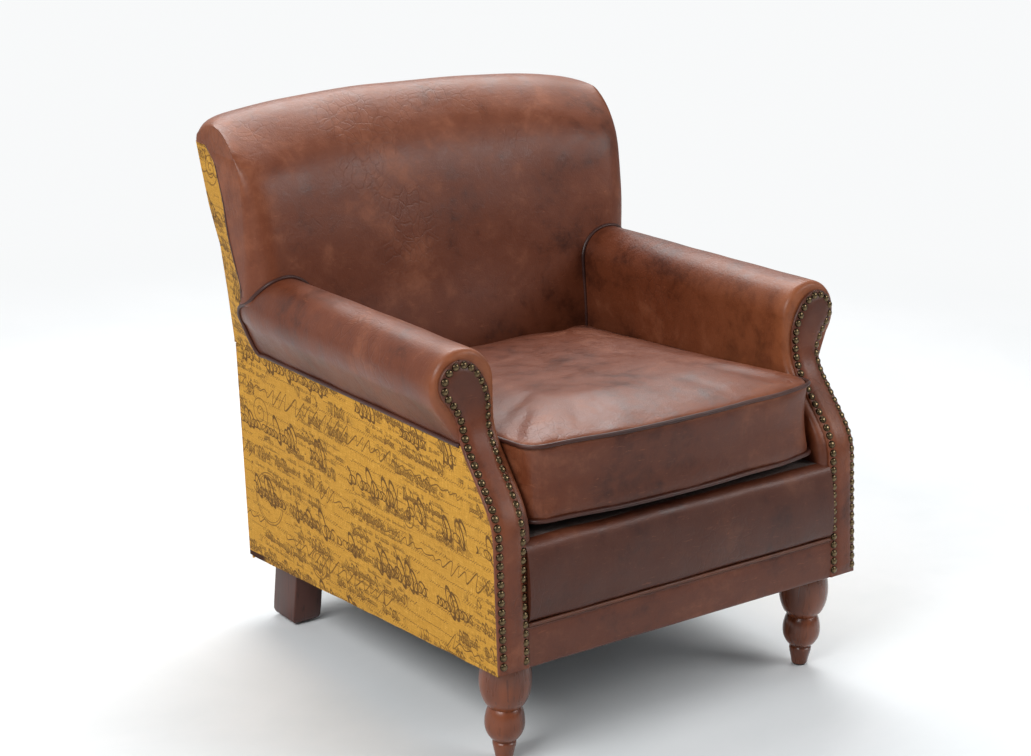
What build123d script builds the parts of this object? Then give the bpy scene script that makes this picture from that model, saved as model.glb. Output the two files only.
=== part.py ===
from build123d import *
import math
import os

os.makedirs("parts", exist_ok=True)

# An upholstered club chair. The floor is z = 0, the sitter looks along -Y, and the
# origin is on the floor under the middle of the chair. All lengths are millimetres.
# The right-hand pieces (the sitter's right, at -X) are modelled and then mirrored.

# Overall size
chair_width = 704
chair_depth = 770
chair_height = 784

# Stance, in degrees: the seat box leans back, the arms open and rise towards the front
seat_tilt = 5.0
arm_flare = 0.9
arm_fall = 1.5

# Seat box
underside_height = 153
panel_thickness = 4
rail_height = 90
rail_thickness = 27
rail_lift = 3
border_thickness = 12
cover_thickness = 1.5
webbing_thickness = 2
webbing_width = 60

# Arms
arm_roll_radius = 49
roll_overhang = 39
arm_top_height = 566
underarm_height = 442
knee_height = 355
neck_height = 450
neck_setback = 100
scroll_setback = 105
arm_end_lap = 17
post_width = 40
post_depth = 40
arm_rail_height = 30
tack_rail_height = 28
facing_thickness = 4
facing_bend = 60

# Nails
nail_diameter = 11
nail_rise = 3.6
nail_pitch = 12.4
nail_gap = 0.3
nail_sides = 6

# Back
back_overhang = 28
back_roll_radius = 44
back_hollow = 24
back_bend_drop = 61
back_foot_lap = 9.4
fabric_hem = 5.1
back_post_width = 32
crest_rail_height = 44
lower_rail_height = 36

# Seat and loose cushion
deck_height = 171.7
cushion_boxing = 100
cushion_crown = 28
cushion_belly = 18
cushion_front_bow = 18
cushion_corner = 30
cushion_side_gap = 1.5
cushion_rest_gap = 0.3
cushion_setback = 5
welt_radius = 3.2

# Legs
front_leg_inset = 45
front_leg_setback = 52
front_leg_bulb = 71
rear_leg_width = 48
rear_leg_depth = 62
rear_leg_inset = 45
rear_leg_forward = 57
rear_leg_rake = 7
glide_height = 3
glide_radius = 9
bolt_radius = 4
bolt_length = 70
bolt_sink = 34

# Working values
overrun = 60
rail_top = rail_lift + rail_height
front_y = (nail_rise - chair_depth) / 2
box_half = chair_width / 2 - roll_overhang
back_half = box_half + back_overhang
tilt = math.radians(seat_tilt)
flare = math.radians(arm_flare)
fall = math.radians(arm_fall)

# Planes: the leaning seat box, the flat outer side of the right arm, and across that arm
seat_plane = Plane(
    origin=(0, front_y, underside_height),
    x_dir=(1, 0, 0),
    z_dir=(0, math.sin(tilt), math.cos(tilt)),
)
side_plane = Plane(
    origin=(-box_half, front_y, 0),
    x_dir=(math.sin(flare), math.cos(flare), 0),
    z_dir=(math.cos(flare), -math.sin(flare), 0),
)
arm_plane = Plane(
    origin=(-box_half, front_y, 0),
    x_dir=(-math.cos(flare), math.sin(flare), 0),
    z_dir=(math.sin(flare), math.cos(flare), 0),
)
arm_direction = (
    math.sin(flare) * math.cos(fall),
    math.cos(flare) * math.cos(fall),
    -math.sin(fall),
)
middle_plane = Plane(origin=(0, front_y, 0), x_dir=(0, 1, 0), z_dir=(1, 0, 0))


def underside(setback):
    """Height of the seat box's underside at a distance behind the front."""
    return underside_height - setback * math.tan(tilt)


def side_x(setback):
    """How far the flat outer side stands from the middle of the chair."""
    return box_half - setback * math.tan(flare)


def height_at(setback, rise):
    """Height of a plane of the leaning box, given by its rise above the underside."""
    return underside(setback) + rise / math.cos(tilt)


def between(height, low_point, high_point):
    """Setback on the straight line through two (setback, height) points."""
    share = (height - low_point[1]) / (high_point[1] - low_point[1])
    return low_point[0] + share * (high_point[0] - low_point[0])


def along(points, height):
    """Setback at a height on a chain of (setback, height) points, lowest first."""
    for low_point, high_point in zip(points, points[1:]):
        if height <= high_point[1]:
            return between(height, low_point, high_point)
    return between(height, points[-2], points[-1])


def shifted(points, distance):
    """The same chain of points, moved back by a distance."""
    return [(setback + distance, height) for setback, height in points]


# Side-view lines, as (setback from the front, height)
knee_setback = (knee_height - underside_height) * math.tan(tilt)
front_line = [
    (0, underside_height),
    (knee_setback, knee_height),
    (neck_setback, neck_height),
    (scroll_setback, arm_top_height),
]

# Side-view lines of the back. Heights are in levels: 0 is the floor, 1 is the bend
# above the arms and 2 is the top.
back_bend_height = arm_top_height - back_bend_drop
back_rise = chair_height - back_bend_height


def back_level(share):
    """Height of a level of the back."""
    return min(share, 1) * back_bend_height + max(share - 1, 0) * back_rise


def back_line(shares, width):
    """Points from shares of a width and levels."""
    return [(share * width, back_level(level)) for share, level in shares]


back_foot_share = 0.801
fabric_foot_share = 0.862
back_foot_setback = back_foot_share * chair_depth
fabric_foot_setback = fabric_foot_share * chair_depth
back_foot_height = height_at(back_foot_setback, deck_height) - back_foot_lap
fabric_foot_height = underside(fabric_foot_setback) - fabric_hem
pad_rear_shares = [(0.809, 1), (0.851, 1.52), (0.878, 1.698), (0.917, 1.788)]
rear_shares = [
    (0.906, 0.793),
    (0.903, 1),
    (0.914, 1.252),
    (0.943, 1.449),
    (0.965, 1.698),
    (0.976, 1.837),
]
pad_rear_line = [(back_foot_setback, back_foot_height), *back_line(pad_rear_shares, chair_depth)]
rear_line = [(fabric_foot_setback, fabric_foot_height), *back_line(rear_shares, chair_depth)]
seam_height = pad_rear_line[-1][1]

# Half-width of the rear corner of the fabric, level by level
corner_shares = [
    (0.443, 0.178),
    (0.444, 0.851),
    (0.459, 1),
    (0.471, 1.34),
    (0.485, 1.777),
    (0.487, 1.913),
]
corner_line = back_line(corner_shares, 2 * back_half)

arm_end_setback = pad_rear_line[1][0] + arm_end_lap
rear_leg_setback = fabric_foot_setback - rear_leg_forward


def seat_point(depth, rise):
    """(setback, height) of a point given in the leaning seat box's own directions."""
    setback = depth * math.cos(tilt) + rise * math.sin(tilt)
    height = underside_height - depth * math.sin(tilt) + rise * math.cos(tilt)
    return (setback, height)


def seat_depth(setback, rise):
    """How deep in the leaning box a setback lies, at a rise above the underside."""
    return (setback - rise * math.sin(tilt)) / math.cos(tilt)


def seat_block(depth_low, depth_high, rise_low, rise_high):
    """Corners of a rectangle that leans with the seat box, in side view."""
    return [
        seat_point(depth_low, rise_low),
        seat_point(depth_high, rise_low),
        seat_point(depth_high, rise_high),
        seat_point(depth_low, rise_high),
    ]


def outline(plane, points):
    """A straight-sided face on a plane."""
    with BuildSketch(plane) as face:
        with BuildLine():
            Polyline(*points, close=True)
        make_face()
    return face.sketch


def front_path(distance):
    """The front of the arm in side view, with soft bends, moved back by a distance."""
    with BuildLine() as path:
        FilletPolyline(*shifted(front_line, distance), radius=facing_bend)
    return path.line


def front_strip(plane, distance, thickness):
    """A strip of even setback that follows the front of the arm, as a face."""
    with BuildSketch(plane) as strip:
        with BuildLine():
            face_side = FilletPolyline(*shifted(front_line, distance), radius=facing_bend)
            back_side = FilletPolyline(*shifted(front_line, distance + thickness), radius=facing_bend)
            Line(face_side @ 0, back_side @ 0)
            Line(face_side @ 1, back_side @ 1)
        make_face()
    return strip.sketch


arm_pieces = {}

# Hanger bolts, one up the middle of each leg
front_leg_x = box_half - front_leg_inset
rear_leg_x = side_x(rear_leg_setback) - rear_leg_inset
front_leg_y = front_y + front_leg_setback
rear_leg_y = front_y + rear_leg_setback
front_bolt_top = underside(front_leg_setback) + bolt_sink
rear_bolt_top = underside(rear_leg_setback) + bolt_sink
with BuildPart() as leg_bolts:
    with BuildSketch(Plane.XY.offset(front_bolt_top)):
        with Locations((-front_leg_x, front_leg_y), (front_leg_x, front_leg_y)):
            Circle(bolt_radius)
    extrude(amount=-bolt_length)
    with BuildSketch(Plane.XY.offset(rear_bolt_top)):
        with Locations((-rear_leg_x, rear_leg_y), (rear_leg_x, rear_leg_y)):
            Circle(bolt_radius)
    extrude(amount=-bolt_length)
leg_bolts.part.label = "leg_bolts"
export_step(leg_bolts.part, "parts/leg_bolts.step")

# Turned front leg: a slim foot, a collar, a small bulb, a groove and a large bulb
bulb = front_leg_bulb / 2
leg_full_height = underside(front_leg_setback)
foot_shares = [(0.324, 0.02), (0.36, 0.07), (0.44, 0.16), (0.44, 0.19), (0.40, 0.205)]
small_bulb_shares = [(0.41, 0.215), (0.768, 0.40), (0.64, 0.53)]
large_bulb_shares = [(0.62, 0.55), (1.0, 0.79), (0.80, 1.03)]
leg_profile_plane = Plane(
    origin=(-front_leg_x, front_leg_y, 0), x_dir=(1, 0, 0), z_dir=(0, -1, 0)
)


def leg_points(shares):
    """Points of the turned profile, from shares of its bulb and of its height."""
    return [(r * bulb, z * leg_full_height) for r, z in shares]


with BuildPart() as right_front_leg:
    with BuildSketch(leg_profile_plane):
        with BuildLine():
            foot = Polyline((bulb * foot_shares[0][0], glide_height), *leg_points(foot_shares[1:]))
            small_bulb = ThreePointArc(*leg_points(small_bulb_shares))
            large_bulb = ThreePointArc(*leg_points(large_bulb_shares))
            Line(foot @ 1, small_bulb @ 0)
            Line(small_bulb @ 1, large_bulb @ 0)
            Polyline(large_bulb @ 1, (0, (large_bulb @ 1).Y), (0, glide_height), foot @ 0)
        make_face()
    revolve(axis=Axis((-front_leg_x, front_leg_y, 0), (0, 0, 1)))
    split(bisect_by=seat_plane.offset(rail_lift), keep=Keep.BOTTOM)
    add(leg_bolts.part, mode=Mode.SUBTRACT)
arm_pieces["front_leg"] = right_front_leg

# Rear leg: a square timber raked backwards, with its foot eased off on all sides
rear_leg_front = rear_leg_setback - rear_leg_depth / 2
rear_leg_ease = rear_leg_width / 6
rear_leg_top = underside(rear_leg_front) + overrun
rake_shift = (rear_leg_top - glide_height) * math.tan(math.radians(rear_leg_rake))
rear_leg_plane = middle_plane.offset(-rear_leg_x - rear_leg_width / 2)
with BuildPart() as right_rear_leg:
    extrude(
        outline(
            rear_leg_plane,
            [
                (rear_leg_front, glide_height),
                (rear_leg_front + rear_leg_depth, glide_height),
                (rear_leg_front + rear_leg_depth - rake_shift, rear_leg_top),
                (rear_leg_front - rake_shift, rear_leg_top),
            ],
        ),
        amount=rear_leg_width,
    )
    chamfer(right_rear_leg.faces().sort_by(Axis.Z)[0].edges(), length=rear_leg_ease)
    split(bisect_by=seat_plane.offset(rail_lift), keep=Keep.BOTTOM)
    add(leg_bolts.part, mode=Mode.SUBTRACT)
arm_pieces["rear_leg"] = right_rear_leg

# Nylon glides tacked under the four feet
with BuildPart() as leg_glides:
    with BuildSketch(Plane.XY):
        with Locations(
            (-front_leg_x, front_leg_y),
            (front_leg_x, front_leg_y),
            (-rear_leg_x, rear_leg_y),
            (rear_leg_x, rear_leg_y),
        ):
            Circle(glide_radius)
    extrude(amount=glide_height)
leg_glides.part.label = "leg_glides"
export_step(leg_glides.part, "parts/leg_glides.step")

# Padding and leather of the inside back: a loft of side views, lower and further
# forward towards the sides, whose front and top edges roll inwards at each end.
# Each row is a point of the side view: its share of the depth and its level, then
# how far the hollow, the arch of the top and the end roll move it.
back_front_share = 0.7123
back_arch_share = 0.0913
end_roll_share = 0.158
back_curve_shares = [
    (0.712, 0.793, 0, 0, 1, 0),
    (0.722, 1.025, 0.6, 0, 1, 0),
    (0.738, 1.393, 0.9, 0.1, 0.8, 0),
    (0.769, 1.704, 1, 0.4, 0.4, 0.05),
    (0.818, 1.872, 0.9, 0.9, -0.1, 0.1),
    (0.903, 2, 0.5, 1, -0.6, 0.1),
    (0.952, 1.958, 0.8, 0.7, -0.6, 0.1),
    (0.975, 1.853, 0.8, 0.3, -0.5, 0),
]
back_front_setback = back_front_share * chair_depth
seam_rear_setback = along(rear_line, seam_height) + panel_thickness
back_stations = [0, 0.25, 0.5, 0.7, 0.82, 0.9, 0.95, 0.98, 0.995, 1]


def back_section(share):
    """Side view of the inside back at a share of its half-width from the middle."""
    x = share * back_half
    reach = abs(x) - (back_half - back_roll_radius)
    turn = min(1, max(0, reach) / back_roll_radius)
    roll_share = 1 - math.sqrt(1 - turn**2)
    inset = back_roll_radius * roll_share
    drop_share = back_arch_share * abs(share) ** 3
    end_share = end_roll_share * roll_share
    hollow = back_hollow * (1 - share**2)
    curve = []
    for setback, level, hollow_share, arch, back, down in back_curve_shares:
        a = setback * chair_depth + hollow_share * hollow + back * inset
        z = back_level(level) - (arch * drop_share + down * end_share) * back_rise
        curve.append((a, z))
    with BuildSketch(middle_plane.offset(x)) as section:
        with BuildLine():
            front = Spline(*curve, tangents=[(0, 1), (-0.2, -1)])
            Polyline(
                front @ 1,
                (seam_rear_setback, seam_height + panel_thickness),
                *pad_rear_line[::-1],
                (back_front_setback + inset, back_foot_height),
                front @ 0,
            )
        make_face()
    return section.sketch


with BuildPart() as back_form:
    for station in [-share for share in back_stations[:0:-1]] + back_stations:
        add(back_section(station))
    loft(ruled=True)

# Timber back post: a dog-leg plank from the seat rail to the top of the back
post_front_line = shifted(pad_rear_line, 2 * webbing_thickness)
post_rear_line = shifted(rear_line, -panel_thickness)
post_top = seam_height + panel_thickness
post_foot = underside(rear_line[0][0])


def line_part(points, low, high):
    """The stretch of a side-view line between two heights, lowest point first."""
    middle = [point for point in points if low < point[1] < high]
    return [(along(points, low), low)] + middle + [(along(points, high), high)]


with BuildPart() as right_back_post:
    extrude(
        outline(
            side_plane.offset(panel_thickness),
            line_part(post_front_line, post_foot, post_top)
            + line_part(post_rear_line, post_foot, post_top)[::-1],
        ),
        amount=back_post_width,
    )
    split(bisect_by=seat_plane.offset(rail_lift), keep=Keep.TOP)
    add(back_form.part, mode=Mode.SUBTRACT)
arm_pieces["back_post"] = right_back_post

# Timber arm post: follows the bent front of the arm behind the facing
post_crown = arm_top_height - arm_roll_radius
with BuildPart() as right_arm_post:
    extrude(
        front_strip(side_plane.offset(panel_thickness), facing_thickness, post_depth),
        amount=post_width,
    )
    split(bisect_by=seat_plane.offset(rail_lift), keep=Keep.TOP)
    split(bisect_by=Plane.XY.offset(post_crown), keep=Keep.BOTTOM)
    add(leg_bolts.part, mode=Mode.SUBTRACT)
arm_pieces["arm_post"] = right_arm_post

# Side seat rail, between the arm post and the back post
with BuildPart() as right_side_rail:
    extrude(
        outline(
            side_plane.offset(panel_thickness),
            seat_block(post_depth / 2, rear_leg_setback + rear_leg_depth / 2, 0, 2 * rail_height),
        ),
        amount=rail_thickness,
    )
    split(bisect_by=seat_plane.offset(rail_lift), keep=Keep.TOP)
    split(bisect_by=seat_plane.offset(rail_top), keep=Keep.BOTTOM)
    add(right_arm_post.part, mode=Mode.SUBTRACT)
    add(right_back_post.part, mode=Mode.SUBTRACT)
arm_pieces["side_seat_rail"] = right_side_rail


# Arm rail under the roll, and tack rail beside the cushion
def underarm(setback):
    """Height of the seam under the arm roll at a distance behind the front."""
    return underarm_height - setback * math.tan(fall)


arm_rail_start = scroll_setback + post_depth / 2
arm_rail_end = post_front_line[1][0] + back_post_width
with BuildPart() as right_arm_rail:
    extrude(
        outline(
            side_plane.offset(panel_thickness),
            [
                (arm_rail_start, underarm(arm_rail_start)),
                (arm_rail_end, underarm(arm_rail_end)),
                (arm_rail_end, underarm(arm_rail_end) + arm_rail_height),
                (arm_rail_start, underarm(arm_rail_start) + arm_rail_height),
            ],
        ),
        amount=post_width,
    )
    add(right_arm_post.part, mode=Mode.SUBTRACT)
    add(right_back_post.part, mode=Mode.SUBTRACT)
arm_pieces["arm_rail"] = right_arm_rail

tack_rail_rise = deck_height - tack_rail_height
with BuildPart() as right_arm_tack_rail:
    extrude(
        outline(
            side_plane.offset(panel_thickness + post_width - rail_thickness),
            seat_block(post_depth / 2, arm_rail_end, tack_rail_rise, deck_height),
        ),
        amount=rail_thickness,
    )
    add(right_arm_post.part, mode=Mode.SUBTRACT)
    add(right_back_post.part, mode=Mode.SUBTRACT)
arm_pieces["arm_tack_rail"] = right_arm_tack_rail

# Space outside the box and below the bend of the back, where the arms run past it
with BuildPart() as arm_gap:
    extrude(
        outline(
            side_plane.offset(panel_thickness),
            [
                (0, 0),
                (0, back_bend_height),
                (chair_depth, back_bend_height),
                (chair_depth, 0),
            ],
        ),
        amount=-overrun,
    )
    mirror(about=Plane.YZ)

# Inside back, cut round the arm timbers that pass through its padding
with BuildPart() as inside_back_pad:
    add(back_form.part)
    add(arm_gap.part, mode=Mode.SUBTRACT)
    for rail in (right_arm_rail.part, right_arm_tack_rail.part):
        add(rail, mode=Mode.SUBTRACT)
        add(rail.mirror(Plane.YZ), mode=Mode.SUBTRACT)
inside_back_pad.part.label = "inside_back_pad"
export_step(inside_back_pad.part, "parts/inside_back_pad.step")

# Arm padding: a round roll over a flat slab, drawn across the arm and run to the rear
roll_u = roll_overhang - arm_roll_radius
roll_z = arm_top_height - arm_roll_radius
slab_u = -(panel_thickness + post_width)
roll_low_angle = -40
arm_region_end = 2 * chair_depth
with BuildPart() as right_arm_pad:
    with BuildSketch(arm_plane):
        with BuildLine():
            roll = CenterArc((roll_u, roll_z), arm_roll_radius, roll_low_angle, 180 - roll_low_angle)
            Polyline(
                roll @ 1,
                (roll_u - arm_roll_radius, 0),
                (slab_u, 0),
                (slab_u, underarm_height),
                (welt_radius / 2, underarm_height),
                roll @ 0,
            )
        make_face()
    extrude(amount=arm_end_setback + overrun, dir=arm_direction)
    extrude(
        front_strip(side_plane.offset(-overrun), facing_thickness, arm_region_end),
        amount=2 * overrun + post_width,
        mode=Mode.INTERSECT,
    )
    extrude(
        outline(
            side_plane.offset(-overrun),
            [
                (0, 0),
                (arm_end_setback, 0),
                (arm_end_setback, underarm_height),
                (pad_rear_line[1][0] - welt_radius, back_bend_height),
                (pad_rear_line[0][0], chair_height),
                (0, chair_height),
            ],
        ),
        amount=2 * overrun + post_width,
        mode=Mode.INTERSECT,
    )
    split(bisect_by=seat_plane.offset(tack_rail_rise), keep=Keep.TOP)
    for piece in (right_arm_post, right_back_post, right_arm_rail, right_arm_tack_rail):
        add(piece.part, mode=Mode.SUBTRACT)
    add(inside_back_pad.part, mode=Mode.SUBTRACT)
arm_pieces["arm_pad"] = right_arm_pad

# Line of the nails on a facing, seen from the front: up the outer side, round the
# scroll and down the inner side, as (outward from the side panel, height)
nail_radius = nail_diameter / 2
nail_edge = 1
nail_low = underside_height + nail_pitch
nail_outer_u = -nail_radius + welt_radius / 2
nail_inner_low_u = -(post_width - nail_edge)
scroll_height = scroll_setback * math.tan(fall)
scroll_shares = [
    (0.133, -1.20),
    (0.16, -0.90),
    (0.40, -0.42),
    (0.63, -0.10),
    (0.665, 0.20),
    (0.49, 0.48),
    (0.18, 0.61),
    (-0.16, 0.50),
    (-0.47, 0.10),
    (-0.64, -0.38),
    (-0.645, -1.20),
]
scroll_points = [
    (roll_u + u * arm_roll_radius, roll_z - scroll_height + z * arm_roll_radius)
    for u, z in scroll_shares
]
with BuildLine() as nail_line:
    scroll = Spline(*scroll_points, tangents=[(0, 1), (0, -1)])
    Line((nail_outer_u, nail_low), scroll @ 0)
    Line(scroll @ 1, (nail_inner_low_u, nail_low))

# Facing: a thin padded board, bent at the knee and at the neck, whose edge runs
# just outside the nails
edge_margin = nail_radius + nail_edge
edge_steps = 20
edge_points = []
for step in range(edge_steps + 1):
    place = scroll @ (step / edge_steps)
    heading = scroll % (step / edge_steps)
    edge_points.append((place.X + heading.Y * edge_margin, place.Y - heading.X * edge_margin))
with BuildPart() as right_arm_facing:
    extrude(
        front_strip(side_plane.offset(-overrun), 0, facing_thickness),
        amount=2 * overrun + post_width,
    )
    with BuildSketch(arm_plane.offset(-overrun)):
        with BuildLine():
            edge = Spline(*edge_points, tangents=[(0, 1), (0, -1)])
            Polyline(
                edge @ 1,
                (nail_inner_low_u - edge_margin, 0),
                (nail_outer_u + edge_margin, 0),
                edge @ 0,
            )
        make_face()
    extrude(amount=scroll_setback + 2 * overrun, mode=Mode.INTERSECT)
arm_pieces["arm_facing"] = right_arm_facing

# Domed nails at an even pitch along that line, standing square on the bent facing
front_bend = front_path(0)


def facing_point(height):
    """(setback, direction along the facing) where the front of the arm has a height."""
    low, high = 0, 1
    for _ in range(14):
        middle = (low + high) / 2
        if (front_bend @ middle).Y < height:
            low = middle
        else:
            high = middle
    return front_bend @ low, front_bend % low


def nail_seat(share):
    """Place and direction of the facing under the nail line, at a share of the line."""
    step = nail_line.line @ share
    place, heading = facing_point(step.Y)
    origin = arm_plane.origin + arm_plane.x_dir * step.X + side_plane.x_dir * place.X
    along_face = side_plane.x_dir * heading.X + Vector(0, 0, 1) * heading.Y
    return origin + Vector(0, 0, step.Y), along_face


def nail_places():
    """Plane of each nail's seat, at an even pitch measured along the bent facing."""
    step_count = 160
    places = [nail_seat(n / step_count)[0] for n in range(step_count + 1)]
    walk = [0]
    for one, two in zip(places, places[1:]):
        walk.append(walk[-1] + (two - one).length)
    nail_count = round(walk[-1] / nail_pitch)
    planes = []
    step = 0
    for n in range(nail_count + 1):
        wanted = walk[-1] * n / nail_count
        while step < step_count - 1 and walk[step + 1] < wanted:
            step += 1
        share = (wanted - walk[step]) / (walk[step + 1] - walk[step])
        place, along_face = nail_seat((step + share) / step_count)
        outward = along_face.cross(arm_plane.x_dir)
        planes.append(
            Plane(origin=place + outward * nail_gap, x_dir=arm_plane.x_dir, z_dir=outward)
        )
    return planes


with BuildPart() as nail_head:
    with BuildSketch(Plane.XY):
        RegularPolygon(nail_radius, nail_sides)
    extrude(amount=nail_rise, taper=35)

with BuildPart() as right_nail_trim:
    with Locations(*nail_places()):
        add(nail_head.part)
arm_pieces["nail_trim"] = right_nail_trim

# Fabric over card on the outside: flat beside the arm, then flaring up the back
strip_foot = underarm(arm_end_setback)


def strip_corners(height):
    """(x, setback) of the fabric's front and rear edges up the side of the back."""
    rear = along(rear_line, height)
    if height <= strip_foot:
        return (side_x(arm_end_setback), arm_end_setback), (side_x(rear), rear)
    front_x = back_half - 2 * welt_radius
    rear_x = along(corner_line, height)
    return (front_x, along(pad_rear_line, height)), (rear_x, rear)


# Everything in front of the back of the facing
with BuildPart() as front_gap:
    extrude(
        front_strip(side_plane.offset(-overrun), -chair_depth, chair_depth + facing_thickness),
        amount=2 * overrun + post_width,
    )

strip_levels = [strip_foot, back_bend_height]
strip_levels += [height for _, height in pad_rear_line[2:-1]]
strip_levels += [seam_height, seam_height + panel_thickness]
with BuildPart() as right_outside_panel:
    for level in strip_levels:
        (front_x, front_a), (rear_x, rear_a) = strip_corners(level)
        with BuildSketch(Plane.XY.offset(level)):
            with BuildLine():
                Polyline(
                    (-front_x, front_y + front_a),
                    (-rear_x, front_y + rear_a),
                    (-rear_x + panel_thickness, front_y + rear_a),
                    (-front_x + panel_thickness, front_y + front_a),
                    close=True,
                )
            make_face()
    loft(ruled=True)
    add(inside_back_pad.part, mode=Mode.SUBTRACT)
    extrude(
        outline(
            side_plane,
            [
                (0, underside(0)),
                (rear_line[0][0], underside(rear_line[0][0])),
                *line_part(rear_line, rear_line[0][1] + panel_thickness, strip_foot),
                (arm_end_setback, strip_foot),
                (neck_setback, underarm(neck_setback)),
                (0, underarm(0)),
            ],
        ),
        amount=panel_thickness,
    )
    add(front_gap.part, mode=Mode.SUBTRACT)
    add(right_arm_pad.part, mode=Mode.SUBTRACT)
arm_pieces["outside_panel"] = right_outside_panel

# Cord of the seam under the arm roll, from the scroll to the rear end of the arm
welt_u = welt_radius + nail_gap
welt_drop = welt_radius + nail_gap
with BuildPart() as right_underarm_welt:
    start = scroll_setback + facing_thickness
    with BuildSketch(arm_plane.offset(start)):
        with Locations((welt_u, underarm(start) - welt_drop)):
            Circle(welt_radius)
    extrude(amount=arm_end_setback - start - welt_radius, dir=arm_direction)
arm_pieces["underarm_welt"] = right_underarm_welt

# Cord of the seam between the leather roll and the fabric, up the side of the back
with BuildPart() as right_back_welt:
    with BuildLine():
        path = Polyline(
            [
                (-back_half + welt_radius, front_y + setback + welt_radius + nail_gap, height)
                for setback, height in line_part(
                    pad_rear_line, back_bend_height + welt_radius, seam_height - 2 * welt_radius
                )
            ]
        )
    with BuildSketch(Plane(origin=path @ 0, z_dir=path % 0)):
        Circle(welt_radius)
    sweep(transition=Transition.RIGHT)
    add(right_outside_panel.part, mode=Mode.SUBTRACT)
    add(inside_back_pad.part, mode=Mode.SUBTRACT)
arm_pieces["back_welt"] = right_back_welt

# The left-hand pieces mirror the right-hand ones
left_parts = []
for name, piece in arm_pieces.items():
    piece.part.label = "right_" + name
    export_step(piece.part, f"parts/right_{name}.step")
    with BuildPart() as left_piece:
        mirror(piece.part, about=Plane.YZ)
    left_piece.part.label = "left_" + name
    export_step(left_piece.part, f"parts/left_{name}.step")
    left_parts.append(left_piece.part)

both_sides = {
    name: (piece.part, left) for (name, piece), left in zip(arm_pieces.items(), left_parts)
}

# Outside back: fabric over card between the two rear corners
with BuildPart() as outside_back_panel:
    levels = [rear_line[0][1]] + [height for _, height in rear_line[1:-1]]
    levels += [strip_foot, *strip_levels]
    for level in sorted(set(levels)):
        rear = along(rear_line, level)
        rear_x = side_x(rear) if level <= strip_foot else along(corner_line, level)
        with BuildSketch(Plane.XY.offset(level)):
            with BuildLine():
                Polyline(
                    (-rear_x, front_y + rear),
                    (rear_x, front_y + rear),
                    (rear_x, front_y + rear - panel_thickness),
                    (-rear_x, front_y + rear - panel_thickness),
                    close=True,
                )
            make_face()
    loft(ruled=True)
    for side in both_sides["outside_panel"]:
        add(side, mode=Mode.SUBTRACT)
    for side in both_sides["back_post"]:
        add(side, mode=Mode.SUBTRACT)
    add(inside_back_pad.part, mode=Mode.SUBTRACT)
outside_back_panel.part.label = "outside_back_panel"
export_step(outside_back_panel.part, "parts/outside_back_panel.step")


def cross_piece(points):
    """A side-view outline, ready to be run across the chair from its middle."""
    return outline(middle_plane, points)


# Seat rails across the chair, let in between the posts
with BuildPart() as front_seat_rail:
    extrude(
        cross_piece(
            seat_block(border_thickness, border_thickness + rail_thickness, rail_lift, rail_top)
        ),
        amount=box_half - post_width / 2,
        both=True,
    )
    for name in ("arm_post", "side_seat_rail"):
        for side in both_sides[name]:
            add(side, mode=Mode.SUBTRACT)
front_seat_rail.part.label = "front_seat_rail"
export_step(front_seat_rail.part, "parts/front_seat_rail.step")

rear_rail_line = line_part(post_rear_line, post_foot - rail_height / 4, post_foot + rail_height * 2)
with BuildPart() as rear_seat_rail:
    extrude(
        cross_piece(rear_rail_line + shifted(rear_rail_line, -rail_thickness)[::-1]),
        amount=side_x(rear_leg_setback) - back_post_width / 2,
        both=True,
    )
    split(bisect_by=seat_plane.offset(rail_lift), keep=Keep.TOP)
    split(bisect_by=seat_plane.offset(rail_top), keep=Keep.BOTTOM)
    for post in both_sides["back_post"]:
        add(post, mode=Mode.SUBTRACT)
rear_seat_rail.part.label = "rear_seat_rail"
export_step(rear_seat_rail.part, "parts/rear_seat_rail.step")

# Rails of the back, between the two back posts
rail_front_line = shifted(pad_rear_line, webbing_thickness)
crest_low = seam_height - crest_rail_height
with BuildPart() as back_crest_rail:
    extrude(
        cross_piece(
            line_part(rail_front_line, crest_low, post_top)
            + line_part(post_rear_line, crest_low, post_top)[::-1]
        ),
        amount=side_x(rear_leg_setback) - back_post_width / 2,
        both=True,
    )
    for post in both_sides["back_post"]:
        add(post, mode=Mode.SUBTRACT)
    add(inside_back_pad.part, mode=Mode.SUBTRACT)
back_crest_rail.part.label = "back_crest_rail"
export_step(back_crest_rail.part, "parts/back_crest_rail.step")

lower_rail_low = back_foot_height
with BuildPart() as back_lower_rail:
    lower_face = line_part(rail_front_line, lower_rail_low, lower_rail_low + lower_rail_height)
    extrude(
        cross_piece(lower_face + shifted(lower_face, rail_thickness)[::-1]),
        amount=side_x(rear_leg_setback) - back_post_width / 2,
        both=True,
    )
    for name in ("back_post", "arm_pad", "arm_tack_rail"):
        for side in both_sides[name]:
            add(side, mode=Mode.SUBTRACT)
back_lower_rail.part.label = "back_lower_rail"
export_step(back_lower_rail.part, "parts/back_lower_rail.step")

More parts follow.
